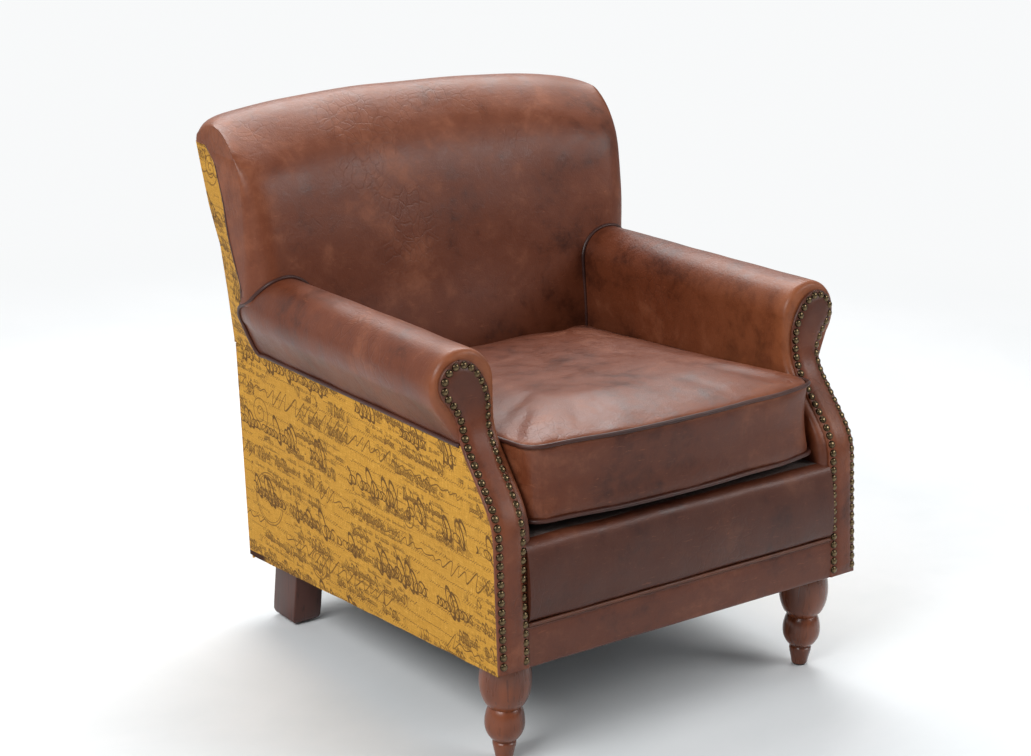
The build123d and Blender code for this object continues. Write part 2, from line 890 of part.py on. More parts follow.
# Corner blocks glued into the seat frame, which the leg bolts run up into
block_leg = 140
block_height = 52
block_x = side_x(rear_leg_setback / 2) - panel_thickness - rail_thickness / 2
front_corner = border_thickness + rail_thickness / 2
rear_corner = rear_rail_line[0][0] - rail_thickness / 2
with BuildPart() as corner_blocks:
    for corner, reach in ((front_corner, block_leg), (rear_corner, -block_leg)):
        with BuildSketch(seat_plane.offset(rail_lift)):
            with BuildLine():
                Polyline(
                    (-block_x, corner),
                    (-block_x, corner + reach),
                    (-block_x + block_leg, corner),
                    close=True,
                )
            make_face()
        extrude(amount=block_height)
    mirror(about=Plane.YZ)
    add(front_seat_rail.part, mode=Mode.SUBTRACT)
    add(rear_seat_rail.part, mode=Mode.SUBTRACT)
    for name in ("side_seat_rail", "arm_post", "back_post"):
        for side in both_sides[name]:
            add(side, mode=Mode.SUBTRACT)
    add(leg_bolts.part, mode=Mode.SUBTRACT)
corner_blocks.part.label = "corner_blocks"
export_step(corner_blocks.part, "parts/corner_blocks.step")

# Webbing of the seat: cross straps, and over them straps that run front to back
long_strap_shares = [-0.66, -0.33, 0, 0.33, 0.66]
cross_strap_shares = [0.22, 0.38, 0.54, 0.70, 0.86]
seat_span = rear_rail_line[0][0]
rail_inner = side_x(0) - panel_thickness - rail_thickness
with BuildPart() as seat_cross_webbing:
    with BuildSketch(seat_plane.offset(rail_top)):
        for share in cross_strap_shares:
            with Locations((0, share * seat_span)):
                Rectangle(2 * rail_inner + rail_thickness / 2, webbing_width)
    extrude(amount=webbing_thickness)
seat_cross_webbing.part.label = "seat_cross_webbing"
export_step(seat_cross_webbing.part, "parts/seat_cross_webbing.step")

with BuildPart() as seat_long_webbing:
    with BuildSketch(seat_plane.offset(rail_top + webbing_thickness)):
        for share in long_strap_shares:
            with Locations((share * rail_inner, (border_thickness + seat_span) / 2)):
                Rectangle(webbing_width, seat_span - border_thickness)
    extrude(amount=webbing_thickness)
seat_long_webbing.part.label = "seat_long_webbing"
export_step(seat_long_webbing.part, "parts/seat_long_webbing.step")

# Webbing of the back: upright straps, and behind them straps from post to post
back_strap_shares = [-0.74, -0.37, 0, 0.37, 0.74]
back_cross_shares = [0.12, 0.39, 0.69, 0.963]
strap_middle = shifted(pad_rear_line, webbing_thickness)
strap_back = shifted(pad_rear_line, 2 * webbing_thickness)
strap_top = crest_low + crest_rail_height / 2
cross_low = lower_rail_low + lower_rail_height
with BuildPart() as back_long_webbing:
    upright = (
        line_part(pad_rear_line, lower_rail_low, strap_top)
        + line_part(strap_middle, lower_rail_low, strap_top)[::-1]
    )
    for share in back_strap_shares:
        strap_start = share * rail_inner - webbing_width / 2
        extrude(outline(middle_plane.offset(strap_start), upright), amount=webbing_width)
    add(inside_back_pad.part, mode=Mode.SUBTRACT)
back_long_webbing.part.label = "back_long_webbing"
export_step(back_long_webbing.part, "parts/back_long_webbing.step")

with BuildPart() as back_cross_webbing:
    for share in back_cross_shares:
        low = cross_low + share * (crest_low - webbing_width - cross_low)
        level_strap = (
            line_part(strap_middle, low, low + webbing_width)
            + line_part(strap_back, low, low + webbing_width)[::-1]
        )
        extrude(cross_piece(level_strap), amount=rail_inner, both=True)
    for name in ("arm_pad", "arm_rail", "arm_tack_rail", "back_post"):
        for side in both_sides[name]:
            add(side, mode=Mode.SUBTRACT)
back_cross_webbing.part.label = "back_cross_webbing"
export_step(back_cross_webbing.part, "parts/back_cross_webbing.step")

# Front of the seat: a padded border over a narrow band, with a cord in the seam
seam_rise = 59
border_bulge = 9
border_lip = 7
front_half = box_half + nail_inner_low_u - nail_radius - nail_edge - nail_gap
with BuildPart() as front_rail_welt:
    with BuildSketch(middle_plane):
        with Locations(seat_point(0, seam_rise)):
            Circle(welt_radius)
    extrude(amount=front_half, both=True)
    for side in both_sides["arm_facing"]:
        add(side, mode=Mode.SUBTRACT)
front_rail_welt.part.label = "front_rail_welt"
export_step(front_rail_welt.part, "parts/front_rail_welt.step")

with BuildPart() as front_rail_border:
    with BuildSketch(middle_plane):
        with BuildLine():
            ThreePointArc(
                seat_point(0, seam_rise),
                seat_point(-border_bulge, (seam_rise + deck_height) / 2),
                seat_point(border_lip, deck_height),
            )
            Polyline(
                seat_point(border_lip, deck_height),
                seat_point(border_thickness, deck_height),
                seat_point(border_thickness, seam_rise),
                seat_point(0, seam_rise),
            )
        make_face()
    extrude(amount=front_half, both=True)
    add(front_rail_welt.part, mode=Mode.SUBTRACT)
    for name in ("arm_pad", "arm_post", "arm_facing"):
        for side in both_sides[name]:
            add(side, mode=Mode.SUBTRACT)
front_rail_border.part.label = "front_rail_border"
export_step(front_rail_border.part, "parts/front_rail_border.step")

with BuildPart() as front_rail_band:
    extrude(
        cross_piece(seat_block(0, border_thickness, 0, seam_rise)), amount=front_half, both=True
    )
    add(front_rail_welt.part, mode=Mode.SUBTRACT)
    for name in ("arm_post", "arm_facing"):
        for side in both_sides[name]:
            add(side, mode=Mode.SUBTRACT)
front_rail_band.part.label = "front_rail_band"
export_step(front_rail_band.part, "parts/front_rail_band.step")

# Deck under the loose cushion: padding and cloth over the webbing
deck_foot = rail_top + 2 * webbing_thickness
deck_half = box_half - (arm_roll_radius - roll_u)
deck_end = pad_rear_line[0][0] - webbing_thickness
with BuildPart() as seat_deck:
    extrude(
        cross_piece(
            [
                seat_point(border_thickness, deck_foot),
                (deck_end, height_at(deck_end, deck_foot)),
                (deck_end, height_at(deck_end, deck_height)),
                seat_point(border_thickness, deck_height),
            ]
        ),
        amount=deck_half,
        both=True,
    )
    for name in ("arm_pad", "arm_post", "arm_tack_rail"):
        for side in both_sides[name]:
            add(side, mode=Mode.SUBTRACT)
    add(inside_back_pad.part, mode=Mode.SUBTRACT)
seat_deck.part.label = "seat_deck"
export_step(seat_deck.part, "parts/seat_deck.step")

# Dust cover: black cloth tacked under the rails, cut out round the legs
cover_depth = rear_rail_line[0][0] - rail_thickness / 4
cover_gap = 0.1
with BuildPart() as dust_cover:
    with BuildSketch(seat_plane.offset(rail_lift - cover_thickness - cover_gap)):
        with Locations((0, (border_thickness + cover_depth) / 2)):
            Rectangle(2 * (side_x(cover_depth) - panel_thickness), cover_depth - border_thickness)
    extrude(amount=cover_thickness)
    for name in ("front_leg", "rear_leg"):
        for side in both_sides[name]:
            add(side, mode=Mode.SUBTRACT)
    add(leg_bolts.part, mode=Mode.SUBTRACT)
dust_cover.part.label = "dust_cover"
export_step(dust_cover.part, "parts/dust_cover.step")

# Loose seat cushion: boxing between two cords, drawn in, with a crown and a belly
cushion_foot = deck_height + cushion_rest_gap
cushion_low_seam = cushion_foot + cushion_belly
cushion_top_seam = cushion_low_seam + cushion_boxing
cushion_rear = seat_depth(back_front_setback - cushion_side_gap - welt_radius, cushion_top_seam)
cushion_draw = 3.5
crown_reach = 170
belly_reach = 40
crown_shares = [(0.08, 0.36), (0.2, 0.64), (0.4, 0.86), (0.7, 0.97), (1, 1)]
belly_shares = [(1, 1), (0.5, 0.72), (0.2, 0.42)]
boxing_shares = [(0, 0), (0.25, 0.75), (0.5, 1), (0.75, 0.75), (1, 0)]


def cushion_plan(rise, inset):
    """Outline of the cushion at a height in the leaning box, drawn in by an inset."""
    front = cushion_setback + inset
    rear = cushion_rear - inset
    wall = arm_roll_radius - roll_u + cushion_side_gap + welt_radius + inset
    front_x = side_x(front) - wall
    rear_x = side_x(rear) - wall
    bow = cushion_front_bow * (1 - inset / (2 * crown_reach))
    with BuildSketch(seat_plane.offset(rise)) as plan:
        with BuildLine():
            ThreePointArc((-front_x, front), (0, front - bow), (front_x, front))
            Polyline((front_x, front), (rear_x, rear), (-rear_x, rear), (-front_x, front))
        make_face()
        fillet(plan.vertices(), radius=cushion_corner)
    return plan.sketch


cushion_levels = [
    (cushion_low_seam - rise * cushion_belly, inset * belly_reach) for inset, rise in belly_shares
]
cushion_levels += [
    (cushion_low_seam + rise * cushion_boxing, inset * cushion_draw)
    for rise, inset in boxing_shares
]
cushion_levels += [
    (cushion_top_seam + rise * cushion_crown, inset * crown_reach) for inset, rise in crown_shares
]
with BuildPart() as cushion_form:
    for rise, inset in cushion_levels:
        add(cushion_plan(rise, inset))
    loft(ruled=True)


def cushion_cord(rise, radius):
    """A cord all round the cushion's edge, at a height in the leaning box."""
    edge = cushion_plan(rise, 0).face().outer_wire()
    with BuildPart() as cord:
        with BuildSketch(Plane(origin=edge @ 0, z_dir=edge % 0)):
            Circle(radius)
        sweep(path=edge)
    return cord.part


with BuildPart() as seat_cushion:
    add(cushion_form.part)
    for rise in (cushion_low_seam, cushion_top_seam):
        add(cushion_cord(rise, welt_radius + cushion_rest_gap), mode=Mode.SUBTRACT)
seat_cushion.part.label = "seat_cushion"
export_step(seat_cushion.part, "parts/seat_cushion.step")

with BuildPart() as cushion_bottom_welt:
    add(cushion_cord(cushion_low_seam, welt_radius))
cushion_bottom_welt.part.label = "cushion_bottom_welt"
export_step(cushion_bottom_welt.part, "parts/cushion_bottom_welt.step")

with BuildPart() as cushion_top_welt:
    add(cushion_cord(cushion_top_seam, welt_radius))
cushion_top_welt.part.label = "cushion_top_welt"
export_step(cushion_top_welt.part, "parts/cushion_top_welt.step")
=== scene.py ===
import random
from functools import partialmethod
from math import copysign, cos, exp, pi, radians, sin, sqrt, tan

import bmesh
import bpy
import numpy as np
from mathutils import Matrix, Vector, noise
from mathutils.bvhtree import BVHTree


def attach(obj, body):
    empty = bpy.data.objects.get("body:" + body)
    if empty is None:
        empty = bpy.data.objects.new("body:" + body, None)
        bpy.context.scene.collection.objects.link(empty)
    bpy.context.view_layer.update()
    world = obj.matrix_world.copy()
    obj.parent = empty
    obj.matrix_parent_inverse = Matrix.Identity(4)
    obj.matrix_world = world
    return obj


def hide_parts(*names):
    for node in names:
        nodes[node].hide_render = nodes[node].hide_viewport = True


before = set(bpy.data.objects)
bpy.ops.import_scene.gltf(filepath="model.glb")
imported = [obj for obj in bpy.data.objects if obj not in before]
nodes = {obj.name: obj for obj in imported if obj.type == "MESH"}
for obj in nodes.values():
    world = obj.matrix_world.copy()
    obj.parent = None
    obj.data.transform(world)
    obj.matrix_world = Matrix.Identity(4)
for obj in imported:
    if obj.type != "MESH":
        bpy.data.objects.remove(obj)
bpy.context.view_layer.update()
scene = bpy.context.scene
random.seed(7)

# Sizes of the chair, in metres, as in the model
MM = 0.001
DEPTH = 0.770
HEIGHT = 0.784
BEND = 0.505
FRONT_Y = -0.3832
BOX_HALF = 0.313
UNDERSIDE = 0.153
PANEL = 0.004
TILT = radians(5.0)
FLARE = radians(0.9)
FALL = radians(1.5)
ROLL_RADIUS = 0.049
ROLL_U = -0.010
ROLL_Z = 0.517
UNDERARM = 0.442
FACING = 0.004
WELT = 0.0032
NAIL_RADIUS = 0.0056
NAIL_RISE = 0.0036
NAIL_PITCH = 0.0124
DECK_RISE = 0.1717
SEAM_RISE = 0.059
BACK_HALF = 0.341
BACK_ROLL = 0.044
BACK_HOLLOW = 0.024
BACK_ARCH_SHARE = 0.0913
END_ROLL_SHARE = 0.158
ARM_END = 0.640
ROLL_FOOT = 0.0316
ARM_LOW = 0.296
CLOTH = 3 * MM
CORD_SIDES = 10
LEG_X = 0.268
LEG_A = 0.052
REAR_LEG_X = 0.2585
REAR_LEG_A = 0.6067
LEG_RAKE = radians(7)
LEG_FOOT = 0.003
LEG_TUCK = 0.003
PROBE = 0.2
WORDS = {-1: "right", 1: "left"}

# Drawn lines as (value, height): setbacks from the front, or distances from the middle
FRONT_LINE = [(0.0, 0.153), (0.0177, 0.355), (0.100, 0.450), (0.105, 0.566)]


def level(share):
    """Height of a level of the back: 0 is the floor, 1 the bend above the arms, 2 the top."""
    return min(share, 1) * BEND + max(share - 1, 0) * (HEIGHT - BEND)


def leveled(scale, *points):
    """A line whose values are shares of a size and whose heights are levels."""
    return [(value * scale, level(z)) for value, z in points]


PAD_REAR_LINE = [(0.6168, 0.2620)]
PAD_REAR_LINE += leveled(DEPTH, (0.809, 1), (0.851, 1.52), (0.878, 1.698), (0.917, 1.788))
REAR_LINE = [(0.6637, 0.0898)] + leveled(
    DEPTH,
    (0.906, 0.793), (0.903, 1), (0.914, 1.252), (0.943, 1.449), (0.965, 1.698), (0.976, 1.837),
)
CORNER_LINE = leveled(
    2 * BACK_HALF,
    (0.443, 0.178), (0.444, 0.851), (0.459, 1), (0.471, 1.34), (0.485, 1.777), (0.487, 1.913),
)
SEAM_HEIGHT = PAD_REAR_LINE[-1][1]
WING_X = [
    (0.3025, 0.425), (0.316, 0.455), (0.326, 0.480), (0.334, 0.503), (0.3355, 0.530), (0.3345, 0.73),
]
WING_A = [
    (0.638, 0.425), (0.638, 0.480), (0.624, 0.503), (0.611, 0.514), (0.609, 0.530), (0.622, 0.555),
    (0.6445, 0.602), (0.6573, 0.6501), (0.6781, 0.6997), (0.708, 0.7249),
]
OUTER_END_LINE = [
    (0.640, 0.425), (0.637, 0.480), (0.623, 0.503), (0.607, 0.516), (0.592, 0.530),
    (0.577, 0.546), (0.560, 0.566),
]


# Curves and meshes

def along(points, height):
    """Value on a chain of (value, height) points at a height, lowest first."""
    for low, high in zip(points, points[1:]):
        if height <= high[1]:
            break
    share = (height - low[1]) / (high[1] - low[1])
    return low[0] + share * (high[0] - low[0])


def underside(setback):
    return UNDERSIDE - setback * tan(TILT)


def side_x(setback):
    return BOX_HALF - setback * tan(FLARE)


def front_a(height):
    """Setback of the arm's front at a height, with its bends eased."""
    ease = [along(FRONT_LINE, height + step * 7 * MM) for step in range(-3, 4)]
    return sum(ease) / len(ease)


def seat_point(depth, rise):
    """(setback, height) of a point in the leaning seat box."""
    return (
        depth * cos(TILT) + rise * sin(TILT),
        UNDERSIDE - depth * sin(TILT) + rise * cos(TILT),
    )


def at(x, setback, height):
    return Vector((x, FRONT_Y + setback, height))


def arm_point(u, height, setback, side):
    """Point of an arm, from its drawing across (u outward, height) and its run."""
    x = -BOX_HALF - u * cos(FLARE) + setback * sin(FLARE)
    y = FRONT_Y + u * sin(FLARE) + setback * cos(FLARE)
    return Vector((side * -x, y, height - setback * sin(FALL)))


def blend(p, q, t, low, high):
    """The value at t, between p at low and q at high."""
    return (high - t) / (high - low) * p + (t - low) / (high - low) * q


def smooth_line(points, count, closed=False):
    """Evenly spaced points of a smooth curve through the given points."""
    pts = [np.array(p, float) for p in points]
    if closed:
        pts = [pts[-1]] + pts + [pts[0], pts[1]]
    else:
        pts = [2 * pts[0] - pts[1]] + pts + [2 * pts[-1] - pts[-2]]
    fine = []
    for k in range(1, len(pts) - 2):
        p0, p1, p2, p3 = pts[k - 1 : k + 3]
        chords = [max(np.linalg.norm(b - a), 1e-6) ** 0.5 for a, b in ((p0, p1), (p1, p2), (p2, p3))]
        t0, t1 = 0, chords[0]
        t2, t3 = t1 + chords[1], t1 + chords[1] + chords[2]
        for t in np.linspace(t1, t2, 24, endpoint=False):
            a1, a2, a3 = blend(p0, p1, t, t0, t1), blend(p1, p2, t, t1, t2), blend(p2, p3, t, t2, t3)
            b1, b2 = blend(a1, a2, t, t0, t2), blend(a2, a3, t, t1, t3)
            fine.append(blend(b1, b2, t, t1, t2))
    fine.append(pts[-2])
    fine = np.array(fine)
    walk = np.concatenate([[0], np.cumsum(np.linalg.norm(np.diff(fine, axis=0), axis=1))])
    steps = np.linspace(0, walk[-1], count + (1 if closed else 0))[:count]
    return np.stack([np.interp(steps, walk, fine[:, k]) for k in range(fine.shape[1])], axis=1)


def linked(name, data):
    """A new object in the scene."""
    obj = bpy.data.objects.new(name, data)
    scene.collection.objects.link(obj)
    return obj


def new_mesh(name, verts, faces, smooth=True, weld=True):
    """A mesh of points and faces, with its double points welded and its normals outward."""
    mesh = bpy.data.meshes.new(name)
    mesh.from_pydata([tuple(v) for v in verts], [], faces)
    mesh.validate()
    obj = linked(name, mesh)
    fix = bmesh.new()
    fix.from_mesh(mesh)
    if weld:
        bmesh.ops.remove_doubles(fix, verts=fix.verts, dist=0.02 * MM)
    bmesh.ops.recalc_face_normals(fix, faces=fix.faces)
    fix.to_mesh(mesh)
    fix.free()
    mesh.polygons.foreach_set("use_smooth", [smooth] * len(mesh.polygons))
    return obj


def grid_faces(rows, width, start=0, wrap=False, loop=False):
    """Faces between rows of points: wrap closes each row, loop joins the last row to the first."""
    faces = []
    for r in range(rows if loop else rows - 1):
        low, high = start + r * width, start + (r + 1) % rows * width
        for k in range(width if wrap else width - 1):
            nxt = (k + 1) % width
            faces.append((low + k, low + nxt, high + nxt, high + k))
    return faces


def rings_mesh(name, rings, loop=False, crease=None):
    """A skin over rings of points, in order, with its two ends filled unless it is a loop."""
    count = len(rings[0])
    verts = [p for ring in rings for p in ring]
    faces = grid_faces(len(rings), count, wrap=True, loop=loop)
    if not loop:
        faces += [tuple(range(count))[::-1], tuple(range(len(verts) - count, len(verts)))]
    obj = new_mesh(name, verts, faces)
    if crease:
        sharpen(obj, crease)
    return obj


def sharpen(obj, degrees):
    """Smooth shading that stays crisp at edges sharper than an angle."""
    mesh = obj.data
    edit = bmesh.new()
    edit.from_mesh(mesh)
    for edge in edit.edges:
        edge.smooth = len(edge.link_faces) == 2 and edge.calc_face_angle(0) < radians(degrees)
    edit.to_mesh(mesh)
    edit.free()


def cord(name, points, radius, count, closed=False):
    """A round cord along a smooth curve through the points."""
    line = [Vector(p) for p in smooth_line([tuple(p) for p in points], count, closed=closed)]
    rings = []
    side = None
    for k, place in enumerate(line):
        ahead = line[(k + 1) % count] if closed or k < count - 1 else place
        behind = line[k - 1] if closed or k > 0 else place
        heading = (ahead - behind).normalized()
        side = (side or heading.orthogonal()).copy()
        side = (side - heading * side.dot(heading)).normalized()
        up = heading.cross(side)
        rings.append([
            place + radius * (cos(a) * side + sin(a) * up)
            for a in (2 * pi * n / CORD_SIDES for n in range(CORD_SIDES))
        ])
    return rings_mesh(name, rings, loop=closed)


def joined(name, objects):
    """Several meshes as one piece."""
    edit = bmesh.new()
    for obj in objects:
        edit.from_mesh(obj.data)
    mesh = bpy.data.meshes.new(name)
    edit.to_mesh(mesh)
    edit.free()
    for obj in objects:
        bpy.data.objects.remove(obj)
    return linked(name, mesh)


def modifier_baked(obj, kind, **settings):
    """Adds a modifier and keeps its result as the mesh."""
    mod = obj.modifiers.new(kind.lower(), kind)
    for key, value in settings.items():
        setattr(mod, key, value)
    mesh = bpy.data.meshes.new_from_object(obj.evaluated_get(bpy.context.evaluated_depsgraph_get()))
    obj.modifiers.clear()
    obj.data = mesh
    return obj


def displaced(obj, amount, scale, seed):
    """Moves the skin in and out a little, as stuffed leather is never quite even."""
    normals = [v.normal.copy() for v in obj.data.vertices]
    for vert, normal in zip(obj.data.vertices, normals):
        vert.co += normal * amount * noise.noise(vert.co * scale + Vector((seed, seed, seed)))
    return obj


def toned(obj, tone):
    """Stores a tone per point for the material: above 0 is worn and light, in places painted light;
    below 0 is painted shade.
    """
    tones = [tone(v.co) for v in obj.data.vertices] if callable(tone) else tone
    layer = obj.data.attributes.new("tone", "FLOAT", "POINT")
    layer.data.foreach_set("value", tones)
    return obj


def ramp(value, reach):
    """The value over a reach, from 0 to 1."""
    return min(1.0, max(0.0, value / reach))


def bell(value, width):
    """1 where the value is 0, fading out over a width."""
    return exp(-(value / width) ** 2)


# Materials

class Nodes:
    """Short names for building a material, or the world, out of nodes."""

    def __init__(self, owner):
        owner.use_nodes = True
        self.owner = owner
        self.tree = owner.node_tree
        self.shader = self.tree.nodes.get("Principled BSDF")

    def add(self, kind, inputs=None, **settings):
        node = self.tree.nodes.new("ShaderNode" + kind)
        for key, value in settings.items():
            setattr(node, key, value)
        for key, value in (inputs or {}).items():
            self.put(node.inputs[key], value)
        return node

    def put(self, socket, value):
        if isinstance(value, bpy.types.NodeSocket):
            self.tree.links.new(value, socket)
        else:
            socket.default_value = value

    def calc(self, operation, one, two=0.0, three=0.0, clamp=False):
        node = self.add("Math", operation=operation, use_clamp=clamp)
        for socket, value in zip(node.inputs, (one, two, three)):
            self.put(socket, value)
        return node.outputs[0]

    times = partialmethod(calc, "MULTIPLY")
    plus = partialmethod(calc, "ADD")
    minus = partialmethod(calc, "SUBTRACT")
    over = partialmethod(calc, "DIVIDE")
    most = partialmethod(calc, "MAXIMUM")

    def vector(self, operation, one, two):
        return self.add("VectorMath", {0: one, 1: two}, operation=operation).outputs[0]

    def length(self, x, y):
        return self.calc("SQRT", self.calc("MULTIPLY_ADD", x, x, self.times(y, y)))

    def pair(self, x, y):
        return self.add("CombineXYZ", {0: x, 1: y}).outputs[0]

    def place(self, scale=(1, 1, 1)):
        coordinates = self.add("TexCoord").outputs["Object"]
        return self.add("Mapping", {"Vector": coordinates, "Scale": scale}).outputs[0]

    def noise(self, vector, scale, detail=3.0, roughness=0.55, distortion=0.0):
        return self.add("TexNoise", {
            "Vector": vector, "Scale": scale, "Detail": detail,
            "Roughness": roughness, "Distortion": distortion,
        }).outputs["Fac"]

    def voronoi(self, vector, scale, feature="F1"):
        node = self.add("TexVoronoi", {"Vector": vector, "Scale": scale}, feature=feature)
        return node.outputs["Distance"]

    def span(self, value, low, high, to_low=0.0, to_high=1.0, shape="SMOOTHSTEP"):
        return self.add("MapRange", {
            "Value": value, "From Min": low, "From Max": high, "To Min": to_low, "To Max": to_high,
        }, interpolation_type=shape).outputs["Result"]

    def mix(self, share, one, two):
        node = self.add("Mix", data_type="RGBA")
        self.put(node.inputs[0], share)
        for socket, value in ((node.inputs[6], one), (node.inputs[7], two)):
            self.put(socket, (*value, 1) if isinstance(value, tuple) else value)
        return node.outputs[2]

    def bump(self, height, distance, strength, normal=None):
        inputs = {"Height": height, "Distance": distance, "Strength": strength}
        if normal:
            inputs["Normal"] = normal
        return self.add("Bump", inputs).outputs[0]

    def done(self, color, roughness, normal=None, **constants):
        self.put(self.shader.inputs["Base Color"], color)
        self.put(self.shader.inputs["Roughness"], roughness)
        if normal:
            self.put(self.shader.inputs["Normal"], normal)
        for key, value in constants.items():
            self.shader.inputs[key.replace("_", " ")].default_value = value
        return self.owner


def material_nodes(name):
    return Nodes(bpy.data.materials.new(name))


def leather(name, dark, middle, light, crease=0.5):
    """Waxed leather: cloudy colour, light where it is stretched or rubbed, painted light and painted
    shade from its tone, pores and creases.
    """
    n = material_nodes(name)
    place = n.place()
    clouds = n.noise(place, 6.0, 5.0, 0.62, 0.5)
    small_clouds = n.noise(place, 30.0, 6.0, 0.68, 0.3)
    cloudy = n.plus(n.times(clouds, 0.6), n.times(small_clouds, 0.4))
    color = n.mix(n.span(cloudy, 0.31, 0.51), dark, middle)
    color = n.mix(n.span(cloudy, 0.50, 0.70, 0.0, 0.8), color, light)
    tone = n.add("Attribute", attribute_name="tone").outputs["Fac"]
    # Above 0 the tone mixes in worn colour, which also serves as painted sheen and light; below 0 it
    # mixes in painted shade
    worn = n.times(tone, n.span(small_clouds, 0.25, 0.65, 0.5, 1.0))
    color = n.mix(n.times(worn, 0.85, clamp=True), color, WEAR_AND_SHEEN)
    color = n.mix(n.times(tone, -1.0, clamp=True), color, SHADED)
    scratches = n.span(n.noise(n.place((1.0, 1.6, 6.0)), 55.0, 5.0, 0.7, 0.8), 0.60, 0.72)
    color = n.mix(n.times(scratches, 0.22), color, tuple(1.7 * c for c in light))
    pores = n.voronoi(place, 560.0)
    grain = n.noise(place, 300.0, 3.0, 0.6)
    # The creases are cell edges, bent by noise and kept to some patches, and darkened with painted
    # shade
    wander = n.add("TexNoise", {"Vector": place, "Scale": 22.0, "Detail": 2.0}).outputs["Color"]
    wander = n.vector("MULTIPLY", wander, (0.03, 0.03, 0.03))
    bent = n.vector("ADD", n.place((1.0, 1.0, 0.75)), wander)
    folds = n.voronoi(bent, 62.0, "DISTANCE_TO_EDGE")
    patches = n.span(n.noise(place, 5.5, 2.0, 0.5, 0.4), 0.52, 0.66)
    lines = n.times(n.minus(1.0, n.span(folds, 0.0, 0.10)), patches)
    # Painted shade along the crease lines
    color = n.mix(n.times(lines, 0.30 * crease), color, CREASE_SHADE)
    ripple = n.noise(n.place((1.0, 2.2, 0.8)), 46.0, 4.0, 0.6, 1.2)
    normal = n.bump(ripple, 2.0 * MM, 0.40 * crease)
    normal = n.bump(lines, -0.6 * MM, 0.6 * crease, normal)
    normal = n.bump(n.plus(pores, grain), 0.16 * MM, 0.6, normal)
    rough = n.span(n.plus(small_clouds, n.times(grain, 0.25)), 0.35, 0.85, 0.34, 0.50)
    return n.done(color, rough, normal, Coat_Weight=0.05, Coat_Roughness=0.28, Specular_IOR_Level=0.33)


def written_rows(n, v, pitch, step):
    """Splits a sheet into rows: height within the row, and a shift that differs by row."""
    row = n.calc("ROUND", n.over(v, pitch))
    return n.minus(v, n.times(row, pitch)), n.times(row, step)


def loop_rows(n, u, v, pitch, cell, tall, weight, lean, seed, sparse):
    """Rows of pen loops: slanted rings of uneven height that overlap like a coiled line."""
    inside, jitter = written_rows(n, v, pitch, 5.37 + seed)
    run = n.plus(n.times(inside, -lean), n.plus(u, jitter))
    marks = []
    for half in (0.0, 0.5):
        steps = n.plus(n.over(run, 2 * cell), half)
        across = n.times(n.minus(n.calc("FRACT", steps), 0.5), 2 * cell)
        key = n.pair(n.calc("FLOOR", steps), n.plus(jitter, half + seed))
        chance = n.add("TexWhiteNoise", {"Vector": key}, noise_dimensions="2D").outputs["Value"]
        high = n.span(chance, 0.45, 0.95, 0.30 * tall, tall)
        upward = n.minus(inside, n.times(n.minus(high, 0.3 * tall), 0.6))
        away = n.length(n.over(across, 0.80 * cell), n.over(upward, high))
        off = n.times(n.calc("ABSOLUTE", n.minus(away, 1.0)), 0.80 * cell)
        pen = n.times(n.span(across, -cell, cell, 1.25, 0.6), weight)
        ring = n.span(n.over(off, pen), 0.6, 1.15, 1.0, 0.0)
        marks.append(n.times(ring, n.span(chance, 0.10, 0.12)))
    gate = n.noise(n.pair(u, n.plus(jitter, 3.3)), 0.14 / cell, 1.0, 0.5)
    return n.times(n.most(*marks), n.span(gate, sparse, sparse + 0.015))


def script_lines(n, u, v, pitch, wave, tall, weight, lean, seed, sparse):
    """Rows of made-up pen strokes: a slanted wave of uneven height, broken into runs."""
    inside, jitter = written_rows(n, v, pitch, 7.31 + seed)
    run = n.plus(n.times(inside, lean), n.plus(u, jitter))

    def wander(scale, shift):
        return n.noise(n.pair(run, n.plus(jitter, shift)), scale, 1.0, 0.5)

    turns = 2 * pi / wave
    phase = n.calc("MULTIPLY_ADD", run, turns, n.times(wander(0.45 / wave, 1.7), 9.0))
    height = n.times(n.span(wander(0.33 / wave, 4.1), 0.36, 0.66, 0.16, 1.0), tall)
    curve = n.times(n.calc("SINE", phase), height)
    slope = n.times(n.times(n.calc("COSINE", phase), height), turns)
    steep = n.calc("SQRT", n.calc("MULTIPLY_ADD", slope, slope, 1.0))
    away = n.over(n.calc("ABSOLUTE", n.minus(inside, curve)), steep)
    pen = n.times(n.span(slope, -1.5, 1.5, 1.0, 0.45), weight)
    ink = n.span(n.over(away, pen), 0.65, 1.1, 1.0, 0.0)
    return n.times(ink, n.span(wander(0.10 / wave, 8.3), sparse, sparse + 0.02))


def pen_line(n, off, weight):
    """Ink within the line's weight of where off is 0."""
    return n.span(n.over(off, weight), 0.7, 1.2, 1.0, 0.0)


def ring_mark(n, u, v, centre, radius, weight):
    """A plain ring of ink."""
    away = n.length(n.minus(u, centre[0]), n.minus(v, centre[1]))
    return pen_line(n, n.calc("ABSOLUTE", n.minus(away, radius)), weight)


def spiral_mark(n, u, v, centre, pitch, reach):
    """A pen curl: a spiral line out to a reach."""
    across, upward = n.minus(u, centre[0]), n.minus(v, centre[1])
    away = n.length(across, upward)
    turn = n.over(n.calc("ARCTAN2", upward, across), 2 * pi)
    wound = n.calc("FRACT", n.minus(n.over(away, pitch), turn))
    off = n.times(n.calc("ABSOLUTE", n.minus(wound, 0.5)), pitch)
    return n.times(pen_line(n, off, 0.0010), n.span(away, reach, reach * 1.02, 1.0, 0.0))


